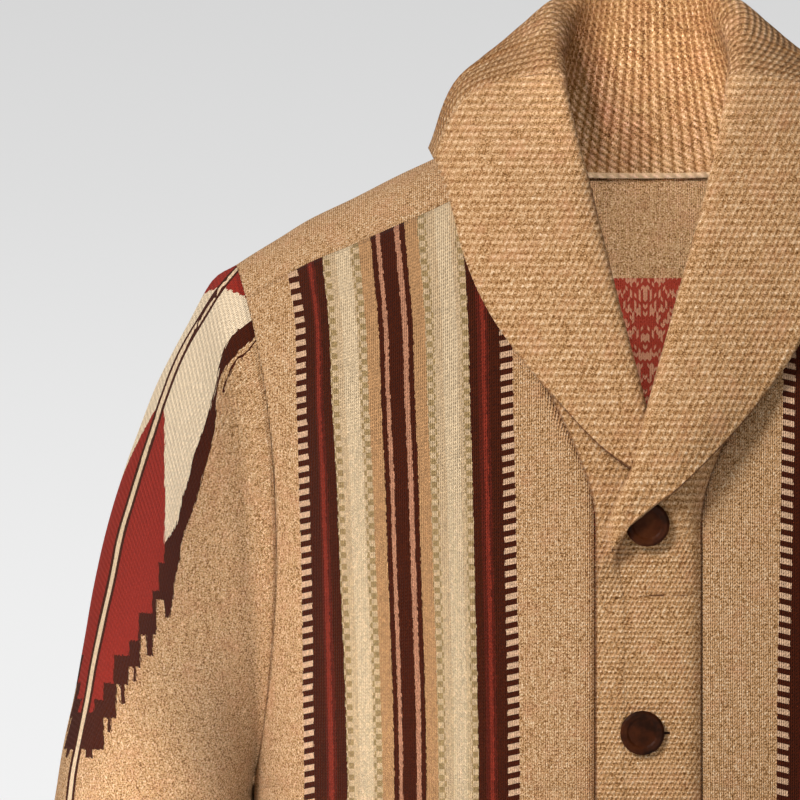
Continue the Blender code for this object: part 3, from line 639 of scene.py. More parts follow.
def sleeve_relief(rows):
    """Creases of a sleeve: a soft fold beside the armhole, pulls at the elbow, slack at the cuff."""
    def slack(inner):
        """How far the slack of the underarm hangs over towards the side of the body."""
        if inner.z >= UNDERARM_Z:
            return 0.0
        hang = min(1.0, max(0.0, (inner.z + 412.0) / 38.0))
        gap = inner.x - level(inner.z - UNDERARM_Z, FRONT)[0] + 0.8
        return max(0.0, gap) * hang * hang * (3.0 - 2.0 * hang)

    def amount(r, c):
        c = c % SLEEVE_COLUMNS
        p = rows[r][c]
        inside = 0.5 - 0.5 * math.cos(2 * math.pi * (c / SLEEVE_COLUMNS - 0.5))
        lift = rippled(p, SLEEVE_RIPPLES) + arm_fold(p, *SLEEVE_FOLD)
        for z, slope, depth in SLEEVE_PULLS:
            lift += depth * (0.35 + 0.65 * inside) * trough(p.z - z + slope * (p.x - 280), 8.0)
        lift = lift * min(1.0, r / 6.0) + slack(rows[r][0]) * max(0.0, 2.0 * inside - 1.0)
        return lift * min(1.0, (len(rows) - 1 - r) / 4.0)
    return pushed(rows, amount, closed=True)


# ---------------------------------------------------------------- ribs at hem and cuffs

RIB_ROWS, RIB_FINE = 24, 8      # rows down a rib piece, columns to each rib


def rib_wave(turns):
    """Height of a rib from 0 to 1: a round crest and a narrow valley."""
    f = turns % 1.0
    return max(0.0, math.sin(math.pi * f)) ** 0.6


def hem_rows(face, inner, ribs):
    rows = []
    steps = ribs * RIB_FINE
    for i in range(RIB_ROWS + 1):
        z = HEM_Z + (RIB_TOP_Z - SEAM_GAP - HEM_Z) * i / RIB_ROWS
        v = z - UNDERARM_Z
        start = inner(v)
        row = []
        for s in range(steps + 1):
            if face == BACK:
                turn = math.pi / 2 * (1.0 - 2.0 * s / steps)
                p = body_point(v, abs(turn), BACK)
                p.x = math.copysign(p.x, -turn)
            else:
                p = body_point(v, start + (math.pi / 2 - start) * s / steps, FRONT)
            row.append(p)
        rows.append(row)
    sign = -1.0 if face == BACK else 1.0

    def amount(r, c):
        edge = min(1.0, (RIB_ROWS - r) / 3.0)
        crest = RIB_HEIGHT * rib_wave(c / RIB_FINE) * (0.55 + 0.45 * edge)
        return sign * (crest + 0.5 * ripple(rows[r][c], 60, 3))
    return pushed(rows, amount)


def cuff_rows():
    rows = []
    steps = CUFF_RIBS * RIB_FINE
    for i in range(RIB_ROWS + 1):
        sizes = [a + (b - a) * i / RIB_ROWS for a, b in zip(CUFF_TOP, CUFF_END)]
        rows.append(ring(*sizes, [-180.0 + 360.0 * s / steps for s in range(steps + 1)]))

    def amount(r, c):
        return RIB_HEIGHT * rib_wave((c % steps) / RIB_FINE) * (0.55 + 0.45 * min(1.0, r / 3.0))
    return pushed(rows, amount, closed=True)


# ---------------------------------------------------------------- collar and bands

COLLAR_RIB = 5.9                # mm from rib to rib along the collar's seam
COLLAR_RIB_HEIGHT = 0.45
COLLAR_ROW, BAND_ROW = 1.1, 3.0  # mm from row to row
RIB_FADE_END, RIB_FADE = 0.1, 0.15  # the ribs fade out this far past the join, over this length
RIB_STRAY, STRAY_SIZE = 0.12, 24.0  # how far the ribs stray, in ribs, and the size of a bend
STRIP_RIPPLE, STRIP_RIPPLE_SIZE, BAND_SHARE = 1.1, 55.0, 0.3


def neck_edge():
    """The neck edge from the middle of the back to the hem: place, point, way out, outward."""
    found = []
    for degrees, x, z in NECK_BACK:
        v = (z - UNDERARM_Z) / (ridge_z(x) - UNDERARM_Z)
        turn = turn_at(x, v, BACK)
        found.append((body_point(v, turn, BACK), body_normal(v, turn, BACK)))
    fronts = [way_up(d) for d in reversed(ARM_DEGREES) if d > 0]
    fronts += [z - UNDERARM_Z for z in reversed(BODY_HEIGHTS)] + [RIB_TOP_Z + SEAM_GAP - UNDERARM_Z]
    for v in fronts:
        turn = turn_at(front_inner(v), v, FRONT)
        found.append((body_point(v, turn, FRONT), body_normal(v, turn, FRONT)))
    foot = HEM_Z - UNDERARM_Z
    found.append((body_point(foot, turn_at(front_inner(foot), foot, FRONT), FRONT), found[-1][1]))
    middle = Vector((CHEST_HALF, 0, UNDERARM_Z))
    edge, length = [], 0.0
    for i, (point, normal) in enumerate(found):
        ahead = found[min(i + 1, len(found) - 1)][0]
        behind = found[max(i - 1, 0)][0]
        tangent = (ahead - behind).normalized() if i else Vector((1, 0, 0))
        out = tangent.cross(normal).normalized()
        if out.dot(point - middle) < 0:
            out.negate()
        length += (point - behind).length / 100.0
        edge.append((length, point - normal * WALL * 0.5, out, normal))
    return edge


def strip_stations(edge):
    """Fine rows of a strip: place, point, way out and outward direction."""
    places = [e[0] for e in edge]
    mirrored_first = Vector((-edge[1][1].x, edge[1][1].y, edge[1][1].z))
    points = [mirrored_first] + [e[1] for e in edge]
    rows = []
    for i in range(len(edge) - 1):
        span = places[i + 1] - places[i]
        step = COLLAR_ROW if places[i] < BAND_FROM else BAND_ROW
        steps = max(1, math.ceil(span * 100.0 / step))
        for s in range(steps):
            f = s / steps
            rows.append((places[i] + span * f, spline_point(points, i + 1, f),
                         edge[i][2].lerp(edge[i + 1][2], f).normalized(),
                         edge[i][3].lerp(edge[i + 1][3], f).normalized()))
    rows.append(edge[-1])
    return rows


def strip_rows(edge, lapel):
    """Rows down a strip, across it from its seam to its free edge, and the place of each row."""
    stations = strip_stations(edge)
    return [strip_section(*s, lapel) for s in stations], [s[0] for s in stations]


def strip_relief(rows, places, seed):
    wide = len(rows[0]) - 1

    def amount(r, c):
        place = places[r]
        fade = max(0.0, min(1.0, (COLLAR_SPLIT + RIB_FADE_END - place) / RIB_FADE))
        edge = min(1.0, c / 12.0, (wide - c) / 5.0)
        wobble = RIB_STRAY * ripple(rows[r][c], STRAY_SIZE, seed)
        wave = math.cos(2 * math.pi * (abs(place) * 100.0 / COLLAR_RIB + wobble))
        lift = COLLAR_RIB_HEIGHT * fade * edge * wave
        soft = STRIP_RIPPLE * ripple(rows[r][c], STRIP_RIPPLE_SIZE, seed + 5) * min(1.0, edge)
        return lift + soft * (1.0 if place < BAND_FROM else BAND_SHARE)
    return pushed(rows, amount)


# ---------------------------------------------------------------- finishes

def linear(colour):
    """A shader colour from an sRGB hex value."""
    parts = [int(colour[i:i + 2], 16) / 255.0 for i in (1, 3, 5)]
    return (*((p / 12.92 if p <= 0.04045 else ((p + 0.055) / 1.055) ** 2.4) for p in parts), 1.0)


def add_node(tree, kind, *inputs, stops=None, **settings):
    """Add a shader node with its settings, feed its sockets in order, return its first output.

    A word after the kind is its operation, or its way of mixing.
    """
    kind, _, mode = kind.partition(" ")
    if mode:
        settings["blend_type" if kind == "MixRGB" else "operation"] = mode
    made = tree.nodes.new("ShaderNode" + kind)
    for name, value in settings.items():
        setattr(made, name, value)
    if stops:
        made.color_ramp.interpolation = "CONSTANT" if stops[0] == "steps" else "LINEAR"
        elements = made.color_ramp.elements
        for i, (place, value) in enumerate(stops[1:]):
            element = elements[i] if i < len(elements) else elements.new(place)
            element.position = place
            if isinstance(value, str):
                element.color = linear(value[:7])
                element.alpha = 0.0 if value.endswith("clear") else 1.0
            else:
                element.color = (value, value, value, 1.0)
    for socket, value in zip(made.inputs, inputs):
        if isinstance(value, bpy.types.NodeSocket):
            tree.links.new(value, socket)
        elif value is not None:
            socket.default_value = value
    return made.outputs[0]


# Wool is dull all over, with a faint sheen from its loose fibres; horn is turned and polished
WOOL = {"Roughness": 1.0, "IOR": 1.5, "Specular IOR Level": 0.1, "Sheen Weight": 0.03,
        "Sheen Roughness": 0.6}
POLISH = {"Roughness": 0.34, "IOR": 1.54, "Specular IOR Level": 0.07}


def start(name, slot, surface=WOOL):
    """A new material, what adds a node to it, and its Principled shader."""
    made = bpy.data.materials.new(name)
    made.use_nodes = True
    made["slot"] = slot
    shader = made.node_tree.nodes["Principled BSDF"]
    for socket, value in surface.items():
        shader.inputs[socket].default_value = value
    return made, functools.partial(add_node, made.node_tree), shader


BEIGE, BEIGE_LIGHT, BEIGE_DARK, FLECK, ROSY = "#CC9F72", "#EACAA4", "#A67A4A", "#7A522E", "#CE926C"
BROWN, RED, WINE, BRICK, ROSE, TAN = "#431602", "#94281A", "#571B0C", "#7E2A1A", "#B67E60", "#B6885C"
IVORY, CREAM, PALE, TICK, OLIVE = "#E9D0AE", "#C8AA84", "#D4B994", "#D2AA88", "#8A6E3A"
SOFT_RED, BLUSH = "#A83C2A", "#DCA680"  # the back's lozenge and the light stitches in it
SEAM_SHADE, HOLE_SHADE = "#5A2E14", "#2E160B"

# Stitches of the jersey in metres, across and along, and the slant of their legs. The real ones may
# be finer; they are drawn as coarse as they need to be to show.
WALE, COURSE, SLANT = 0.0024, 0.0019, 0.7
# Grains to a metre: uneven yarn of 1.25 mm, plies of 0.87 mm, loose fibres of 0.67 mm, blooms of
# 13 mm in the dye. Plies and fibres are finer in the wool, and are drawn coarser to show.
UNEVEN, PLIES, FIBRES, BLOOMS = 800.0, 1150.0, 1500.0, 75.0
JERSEY_RELIEF, RIB_RELIEF, LAPEL_RELIEF = 0.0005, 0.0012, 0.0009  # depth of the stitches in metres
TURN = 2 * math.pi
# Painted shade is made warmer where it is darker, as light that has passed through wool is: powers of a
# shade for its green and blue
WARM_GREEN, WARM_BLUE = 1.35, 1.9
# painted shade in the gaps between stitches and a little painted light on their tops; random tone of the
# fluff; how far the fluff raises the stitches
GAP_SHADE, FLUFF_SHADE, FLUFF_RISE = (0.86, 1.06), (0.91, 1.09), 0.4


def stitches(add):
    """Plain knit in the cloth map: height, a random tone for each stitch."""
    place = add("SeparateXYZ", add("UVMap", uv_map="cloth"))
    across = add("Math MULTIPLY", place, 1.0 / WALE)
    along = add("Math MULTIPLY", place.node.outputs[1], 1.0 / COURSE)
    half = add("Math SUBTRACT", add("Math FRACT", across), 0.5)
    leg = add("Math MULTIPLY", add("Math ABSOLUTE", half), 2.0)
    phase = add("Math MULTIPLY_ADD", leg, SLANT, along)
    wave = add("Math SINE", add("Math MULTIPLY", phase, TURN))
    round_leg = add("Math SINE", add("Math MULTIPLY", leg, math.pi))
    height = add("Math MULTIPLY_ADD", wave, 0.3, round_leg)
    legs = add("Math MULTIPLY", across, 2.0)
    cell = add("CombineXYZ", add("Math FLOOR", legs), add("Math FLOOR", phase))
    return height, add("TexWhiteNoise", cell, noise_dimensions="2D")


def marl(add, tone):
    """Two-ply marled wool: beige with light and dark plies, a few brown flecks, a rosy bloom."""
    spot = add("TexCoord").node.outputs["Object"]
    plies = add("TexNoise", spot, None, PLIES, 1.0, 0.6)
    mixed = add("Math MULTIPLY_ADD", tone, 0.12, plies)
    yarn = add("ValToRGB", mixed,
               stops=("blend", (0.34, FLECK), (0.47, BEIGE_DARK), (0.54, BEIGE), (0.62, BEIGE),
                      (0.78, BEIGE_LIGHT)))
    bloom = add("TexNoise", spot, None, BLOOMS, 2.0, 0.6)
    return add("MixRGB", add("MapRange", bloom, 0.5, 0.75, 0.0, 0.35), yarn, linear(ROSY))


def warmed(add, shade):
    """A grey painted shade as a tint, warmer where it is dark."""
    return add("CombineXYZ", shade, add("Math POWER", shade, WARM_GREEN),
               add("Math POWER", shade, WARM_BLUE))


def paint_shade_and_raise(add, shader, colour, height, depth):
    """Paint shade into the gaps between stitches and light onto their tops, fluff the yarn and raise the
    stitches.
    """
    # painted shade: the gaps darker and the tops lighter, times a random tone from the fluff
    shade = add("MapRange", height, -0.3, 1.1, *GAP_SHADE)
    fluff = add("TexNoise", add("TexCoord").node.outputs["Object"], None, FIBRES, 3.0, 0.7)
    shade = add("Math MULTIPLY", shade, add("MapRange", fluff, 0.3, 0.7, *FLUFF_SHADE))
    coloured = add("MixRGB MULTIPLY", 1.0, colour, warmed(add, shade))
    raised = add("Math MULTIPLY_ADD", fluff, FLUFF_RISE, height)
    bump = add("Bump", None, depth)
    links = shader.id_data.links
    links.new(raised, bump.node.inputs["Height"])
    links.new(coloured, shader.inputs["Base Color"])
    links.new(bump, shader.inputs["Normal"])


def marled_jersey(name):
    """Wool jersey in two-ply marled yarn: soft, dull, with flecks the size of a stitch."""
    made, add, shader = start(name, "knit")
    height, tone = stitches(add)
    paint_shade_and_raise(add, shader, marl(add, tone), height, JERSEY_RELIEF)
    return made


# Stripes of the body: distance from the middle in mm where each begins
STRIPES = [(71, BROWN), (83.9, WINE), (85.7, BRICK), (87.8, WINE), (89.6, BROWN), (94, CREAM),
           (100.2, PALE), (108, CREAM), (116.5, TAN), (123, BROWN), (126, ROSE), (128.8, BROWN),
           (136.3, ROSE), (138.7, BROWN), (141.3, TAN), (148, CREAM), (152.8, PALE), (160.2, CREAM),
           (167.4, BROWN), (172.6, WINE), (174, BRICK), (176.2, WINE), (177.4, BROWN),
           (189, BEIGE + "clear")]
TICKS = [(71, 78), (183.5, 189)]
ZIGZAGS = [(94, 98), (112.5, 116.5), (148, 152), (163.4, 167.4)]
STRIPES_FROM, STRIPES_TO = 60.0, 200.0
TICK_STEP, TICK_SLOPE = 0.0062, 0.22
DOT = 0.00315                   # staggered dots at the edges of the cream stripes
YOKE_EDGE, BEHIND = -0.084, 0.03  # the back is striped below this height and behind this Y
# The lozenge down the back: height of its widest row, how much narrower it gets for each metre up
# and down, step of its edge, reach of its light stitches and of its ramp
DIAMOND_Z, DIAMOND_UP, DIAMOND_DOWN, DIAMOND_STEP = -0.285, 0.169, 0.24, 0.0045
DIAMOND_LIGHT, DIAMOND_FAR = 0.058, 0.1


def striped_jersey(name, front):
    """The same jersey with stripes of dyed yarn knitted in: flat, dull bands with soft edges."""
    made, add, shader = start(name, "knit")
    height, tone = stitches(add)
    plain = marl(add, tone)
    place = add("SeparateXYZ", add("UVMap", uv_map="stripes"))
    level_z = place.node.outputs[1]
    jitter = add("MapRange", tone, 0.0, 1.0, -0.0003, 0.0003)
    across = add("Math ADD", place, jitter)
    share = add("MapRange", across, STRIPES_FROM * MM, STRIPES_TO * MM, 0.0, 1.0)

    def at(mm):
        return (mm - STRIPES_FROM) / (STRIPES_TO - STRIPES_FROM)

    coloured = add("ValToRGB", share,
               stops=("steps", (0.0, BEIGE + "clear"), *((at(mm), colour) for mm, colour in STRIPES)))
    worked = coloured.node.outputs["Alpha"]
    masks = []
    for zones in (TICKS, ZIGZAGS):
        stops = [(0.0, 0.0)]
        for low, high in zones:
            stops += [(at(low), 1.0), (at(high), 0.0)]
        masks.append(add("ValToRGB", share, stops=("steps", *stops)))
    # ladders of slanted ticks along both outer edges of the striped panel
    slanted = add("Math MULTIPLY_ADD", place, TICK_SLOPE, level_z)
    rung = add("Math FRACT", add("Math MULTIPLY", slanted, 1.0 / TICK_STEP))
    rung = add("Math LESS_THAN", rung, 0.5)
    rung = add("Math MULTIPLY", rung, masks[0])
    coloured = add("MixRGB", rung, coloured, linear(TICK))
    # staggered dots along the edges of the cream stripes
    dots = add("TexChecker", add("UVMap", uv_map="stripes"), linear("#FFFFFF"), linear("#000000"),
               1.0 / DOT)
    dots = add("Math MULTIPLY", dots, masks[1])
    coloured = add("MixRGB", add("Math MULTIPLY", dots, 0.7), coloured, linear(OLIVE))
    # the yarn is a little uneven from stitch to stitch
    grain = add("TexNoise", add("TexCoord").node.outputs["Object"], None, UNEVEN, 2.0, 0.7)
    tint = add("MapRange", add("Math MULTIPLY_ADD", tone, 0.26, grain), 0.36, 0.9, 0.73, 1.25)
    coloured = add("MixRGB MULTIPLY", 1.0, coloured, tint)
    if not front:
        # on the back the stripes end under a plain yoke, which comes over to the front seam
        spot = add("SeparateXYZ", add("TexCoord").node.outputs["Object"])
        behind = add("Math GREATER_THAN", spot.node.outputs[1], BEHIND)
        region = add("Math MULTIPLY", behind, add("Math LESS_THAN", level_z, YOKE_EDGE))
        worked = add("Math MULTIPLY", worked, region)
    colour = add("MixRGB", worked, plain, coloured)
    if not front:
        colour = back_diamond(add, place, level_z, tone, region, colour)
    paint_shade_and_raise(add, shader, colour, height, JERSEY_RELIEF)
    return made


def back_diamond(add, across, level_z, tone, region, colour):
    """A stepped lozenge in red, flat at the top, edged in brown and cream, down the back."""
    high = add("Math ADD", level_z, -DIAMOND_Z)
    above = add("Math MULTIPLY", high, DIAMOND_UP)
    below = add("Math MULTIPLY", high, -DIAMOND_DOWN)
    stepped = add("Math SNAP", add("Math MAXIMUM", above, below), DIAMOND_STEP)
    reach = add("Math ADD", add("Math ABSOLUTE", across), stepped)
    reach = add("Math ADD", reach, add("MapRange", tone, 0.0, 1.0, -0.0006, 0.0006))
    share = add("MapRange", reach, 0.0, DIAMOND_FAR, 0.0, 1.0)
    diamond = add("ValToRGB", share,
                  stops=("steps", (0.0, SOFT_RED), (0.58, BROWN), (0.65, CREAM), (0.69, BEIGE + "clear")))
    worked = add("Math MULTIPLY", diamond.node.outputs["Alpha"], region)
    # light stitches strewn over the red
    light = add("Math MULTIPLY", add("Math GREATER_THAN", tone, 0.62),
                add("Math LESS_THAN", reach, DIAMOND_LIGHT))
    coloured = add("MixRGB", add("Math MULTIPLY", light, 0.7), diamond, linear(BLUSH))
    return add("MixRGB", worked, colour, coloured)


# The stepped foot of the sleeve's dark edge, with its thin teeth, and of the red inside it:
# distance from the middle where each step begins, height of its foot
DARK_STEPS = [(252, -259), (256, -268.5), (260.3, -259), (264, -278), (266.2, -289), (270, -278),
              (272.7, -295.4), (274.9, -303), (277, -295.4), (279.2, -305), (280.8, -315),
              (283.5, -305), (285.7, -323), (288.4, -330.5), (290.5, -323), (292.1, -340),
              (299, -344.5), (302.4, -340)]
RED_STEPS = [(240, -100), (260.3, -239), (263, -254), (266.8, -266), (273.8, -281), (279.2, -289),
             (287.3, -304), (292.7, -313), (298, -320)]
STEPS_FROM, STEPS_TO = 200.0, 330.0
FOOT_LOW = -400.0
RED_TOP, RED_SIDE = -157.0, 260.3
PALE_FOOT = -0.231
# The saw edge of the red cap: width of a tooth, its slope, distance and height of its foot
CAP_TOOTH, CAP_SLOPE, CAP_X, CAP_Z = 0.0035, 0.45, 0.2187, -0.094
HOOK_AWAY, HOOK_HALF, HOOK_FOOT = 0.0035, 0.0006, -0.147  # thin line beyond the dark edge
LINE_HALF, LINE_CORE = 0.0025, 0.0011  # half widths of the line down the middle


def sleeve_jersey(name):
    """Jersey of the sleeves: a pale lozenge, edged in brown, over a stepped red and brown foot."""
    made, add, shader = start(name, "knit")
    height, tone = stitches(add)
    colour = marl(add, tone)
    jag = add("MapRange", tone, 0.0, 1.0, -0.0005, 0.0005)
    spot = add("SeparateXYZ", add("UVMap", uv_map="motif"))
    x = add("Math ADD", spot, jag)
    z = add("Math ADD", spot.node.outputs[1], jag)
    share = add("MapRange", x, STEPS_FROM * MM, STEPS_TO * MM, 0.0, 1.0)
    high = add("MapRange", z, FOOT_LOW * MM, 0.0, 0.0, 1.0)
    feet = []
    for table in (DARK_STEPS, RED_STEPS):
        stops = [((mm - STEPS_FROM) / (STEPS_TO - STEPS_FROM), 1.0 - foot / FOOT_LOW)
                 for mm, foot in table]
        foot = add("ValToRGB", share, stops=("steps", (0.0, stops[0][1]), *stops))
        feet.append(add("Math GREATER_THAN", high, foot))
    edges = add("SeparateXYZ", add("UVMap", uv_map="edges"))
    in_pale = add("Math LESS_THAN", add("Math ADD", edges, jag), 0.0)
    past_dark = add("Math ADD", edges.node.outputs[1], jag)
    in_dark = add("Math MULTIPLY", add("Math LESS_THAN", past_dark, 0.0), feet[0])
    in_pale = add("Math MULTIPLY", in_pale, add("Math GREATER_THAN", z, PALE_FOOT))
    in_red = add("Math GREATER_THAN", x, RED_SIDE * MM)
    in_red = add("Math MULTIPLY", in_red, add("Math LESS_THAN", z, RED_TOP * MM))
    in_red = add("Math MULTIPLY", in_red, feet[1])
    # the red cap at the top, with a saw edge
    saw = add("Math MULTIPLY_ADD", add("Math SNAP", x, CAP_TOOTH), -CAP_SLOPE, z)
    in_cap = add("Math GREATER_THAN", saw, CAP_Z - CAP_SLOPE * CAP_X)
    # a thin line that follows the hook of the dark edge
    hook = add("Math ABSOLUTE", add("Math SUBTRACT", past_dark, HOOK_AWAY))
    hook = add("Math LESS_THAN", hook, HOOK_HALF)
    hook = add("Math MULTIPLY", hook, add("Math GREATER_THAN", z, HOOK_FOOT))
    # the line down the middle: light, between two thin dark lines
    line = add("SeparateXYZ", add("UVMap", uv_map="line"))
    near = add("Math LESS_THAN", line, LINE_HALF)
    core = add("Math LESS_THAN", line, LINE_CORE)
    for amount, dye in ((in_dark, BROWN), (hook, BROWN), (in_pale, IVORY), (in_red, RED), (in_cap, RED),
                        (near, BROWN), (core, BEIGE_LIGHT)):
        colour = add("MixRGB", amount, colour, linear(dye))
    grain = add("TexNoise", add("TexCoord").node.outputs["Object"], None, UNEVEN, 2.0, 0.7)
    tint = add("MapRange", grain, 0.35, 0.65, 0.9, 1.1)
    colour = add("MixRGB MULTIPLY", 1.0, colour, tint)
    paint_shade_and_raise(add, shader, colour, height, JERSEY_RELIEF)
    return made


RIB_STITCH, RIB_SLANT = 0.0036, 0.8
CHAIN = 0.0026                  # light row of linked stitches at the collar's seam


def rib_knit(name):
    """Chunky rib in marled wool: slanted stitches in ranks along each rib, grooves in shade."""
    made, add, shader = start(name, "collar")
    place = add("SeparateXYZ", add("UVMap", uv_map="cloth"))
    ribs = add("Math MULTIPLY", place.node.outputs[1], 1000.0 / COLLAR_RIB)
    index = add("Math FLOOR", add("Math ADD", ribs, 0.5))
    side = add("Math SUBTRACT", ribs, index)
    along = add("Math MULTIPLY", place, 1.0 / RIB_STITCH)
    slanted = add("Math MULTIPLY_ADD", side, RIB_SLANT, along)
    wave = add("Math SINE", add("Math MULTIPLY", slanted, TURN))
    crest = add("Math COSINE", add("Math MULTIPLY", side, TURN))
    high = add("Math MULTIPLY_ADD", wave, 0.3, add("Math MULTIPLY_ADD", crest, 0.4, 0.35))
    cell = add("CombineXYZ", index, add("Math FLOOR", slanted))
    tone = add("TexWhiteNoise", cell, noise_dimensions="2D")
    # painted shade in the grooves between ribs and between the stitches, with painted light on the
    # stitches' faces
    groove = add("MapRange", crest, -1.0, -0.3, 0.6, 1.0)
    groove = add("Math MULTIPLY", groove, add("MapRange", wave, -1.0, 1.0, 0.8, 1.12))
    colour = add("MixRGB MULTIPLY", 1.0, marl(add, tone), warmed(add, groove))
    chain = add("Math LESS_THAN", place, CHAIN)
    colour = add("MixRGB", add("Math MULTIPLY", chain, 0.7), colour, linear(BEIGE_LIGHT))
    paint_shade_and_raise(add, shader, colour, high, RIB_RELIEF)
    return made


BAND_TOP = -0.222               # the finer stitches of the bands begin at this height
LAPEL_STITCH, BAND_STITCH = (0.0033, 0.0039), (0.0025, 0.0027)
HOLE_STEP, HOLE_FIRST = 0.112, -0.218
HOLE_FROM, HOLE_END, HOLE_HALF = -0.012, 0.0116, 0.0007
STITCH_LEAN, FINE_BLEND = 0.55, 0.006
RIM = 0.0012                    # width of the shaded rim
RIM_STOPS = ((0.29, 0.0), (0.325, 0.75), (0.362, 0.75), (0.378, 0.0))  # places in tenths, shade
SEAM_NEAR, SEAM_FAR = 0.0006, 0.0018


def lapel_knit(name):
    """The same wool knitted across: slanted stitches in level rows, finer on the bands."""
    made, add, shader = start(name, "collar")
    spot = add("SeparateXYZ", add("TexCoord").node.outputs["Object"])
    level_z = spot.node.outputs[2]
    kinds = []
    for wide, high in (LAPEL_STITCH, BAND_STITCH):
        rows = add("Math MULTIPLY", level_z, 1.0 / high)
        lean = add("Math MULTIPLY_ADD", rows, -STITCH_LEAN, add("Math MULTIPLY", spot, 1.0 / wide))
        stroke = add("Math SINE", add("Math MULTIPLY", lean, TURN))
        row = add("Math COSINE", add("Math MULTIPLY", rows, TURN))
        kinds.append(add("Math MULTIPLY_ADD", stroke, 0.2, add("Math MULTIPLY_ADD", row, 0.3, 0.5)))
    fine = add("MapRange", level_z, BAND_TOP + FINE_BLEND, BAND_TOP - FINE_BLEND, 0.0, 1.0)
    high = add("Math MULTIPLY_ADD", add("Math SUBTRACT", kinds[1], kinds[0]), fine, kinds[0])
    cell = add("CombineXYZ", add("Math FLOOR", lean), add("Math FLOOR", rows))
    tone = add("TexWhiteNoise", cell, noise_dimensions="2D")
    # painted shade between the stitches and the rows, with painted light on their tops
    shade = add("MapRange", high, 0.0, 1.0, 0.70, 1.13)
    colour = add("MixRGB MULTIPLY", 1.0, marl(add, tone), warmed(add, shade))
    # worked buttonholes, their slits painted dark as shade
    off = add("Math WRAP", add("Math ADD", level_z, -HOLE_FIRST), HOLE_STEP / 2, -HOLE_STEP / 2)
    slit = add("Math LESS_THAN", add("Math ABSOLUTE", off), HOLE_HALF)
    reach = add("Math LESS_THAN", spot, HOLE_END)
    reach = add("Math MULTIPLY", reach, add("Math GREATER_THAN", spot, HOLE_FROM))
    slit = add("Math MULTIPLY", add("Math MULTIPLY", slit, reach), fine)
    colour = add("MixRGB", slit, colour, linear(HOLE_SHADE))
    # painted shadow along the linked free edge, towards the first button
    rim = add("SeparateXYZ", add("UVMap", uv_map="rim"))
    shaded = add("ValToRGB", rim.node.outputs[1], stops=("blend", *RIM_STOPS))
    line = add("Math MULTIPLY", add("Math LESS_THAN", rim, RIM), shaded)
    colour = add("MixRGB", line, colour, linear(SEAM_SHADE))
    # painted shade where the wool turns in at the seam with the front
    seam = add("SeparateXYZ", add("UVMap", uv_map="cloth"))
    seam = add("MapRange", seam, SEAM_NEAR, SEAM_FAR, 0.6, 0.0)
    colour = add("MixRGB", seam, colour, linear(SEAM_SHADE))
    paint_shade_and_raise(add, shader, colour, high, LAPEL_RELIEF)
    return made


def polished_horn(name):
    """Dark horn button, turned and polished: brown streaks in near black, a soft gloss."""
    made, add, shader = start(name, "horn", POLISH)
    spot = add("TexCoord").node.outputs["Object"]
    streak = add("TexNoise", spot, None, 90.0, 3.0, 0.6)
    colour = add("ValToRGB", streak,
                 stops=("blend", (0.35, "#220E04"), (0.55, "#3C1A08"), (0.72, "#4A250F")))
    shader.id_data.links.new(colour, shader.inputs["Base Color"])
    return made


# ---------------------------------------------------------------- making

JERSEY = marled_jersey("marled_wool_jersey")
STRIPED = striped_jersey("striped_wool_jersey", True)
STRIPED_BACK = striped_jersey("striped_wool_jersey_back", False)
SLEEVE_KNIT = sleeve_jersey("motif_wool_jersey")
RIB = rib_knit("chunky_wool_rib")
LAPEL = lapel_knit("slanted_wool_knit")
HORN = polished_horn("polished_horn")


def lay(name, cut, rows, maps, finish, halves=1, **how):
    """A piece of cloth in place of the solid of its name; its cut is not used."""
    piece = cloth(f"cloth_{name}", rows, maps, finish, [name], **how)
    return piece


def lay_pair(name, cut, left, right, maps, finish, **how):
    """The piece on each side; the right one is mirrored."""
    lay(f"{name}_left", cut, left, maps, finish, **how)
    lay(f"{name}_right", cut, right, maps, finish, mirror=True, **how)


flat = front_rows()
lay_pair("front", flat, front_relief(flat, 3), front_relief(flat, 21), body_maps(flat), STRIPED)

flat = back_rows()
piece = lay("back", flat, back_relief(flat), body_maps(flat), STRIPED_BACK, halves=2, flip=True)
twin = piece.modifiers.new("Other half", "MIRROR")
twin.use_clip = True
twin.merge_threshold = 0.00005
piece.modifiers.move(1, 0)

flat = sleeve_rows()
creased = sleeve_relief(flat)
lay_pair("sleeve", flat, creased, creased, {"cloth": lengths(flat), **motif_places(flat)},
         SLEEVE_KNIT, closed=True)

flat = cuff_rows()
lay_pair("cuff", flat, flat, flat, {"cloth": lengths(flat)}, JERSEY, closed=True)

flat = hem_rows(BACK, lambda v: 0.0, HEM_BACK_RIBS)
lay("hem_back", flat, flat, {"cloth": lengths(flat)}, JERSEY, flip=True)
flat = hem_rows(FRONT, lambda v: turn_at(front_inner(v), v, FRONT), HEM_FRONT_RIBS)
lay_pair("hem_front", flat, flat, flat, {"cloth": lengths(flat)}, JERSEY)

edge = neck_edge()
for side, lapel, seed in (("left", LAPEL_OVER, 5), ("right", LAPEL_UNDER, 25)):
    rows, places = strip_rows(edge, lapel)
    raised = strip_relief(rows, places, seed)
    split = min(range(len(places)), key=lambda i: abs(places[i] - COLLAR_SPLIT))
    table = [[(u, place * 0.1) for u, _ in line] for line, place in zip(lengths(rows), places)]
    rim = [[(line[-1][0] - u, v) for u, v in line] for line in table]
    lay(f"lapel_{side}", rows[split:], raised[split:], {"cloth": table[split:], "rim": rim[split:]},
        LAPEL, wall=STRIP_WALL, offset=0.0, mirror=side == "right")
    if side == "left":
        collar_rows, collar_table = raised[:split + 1], table[:split + 1]

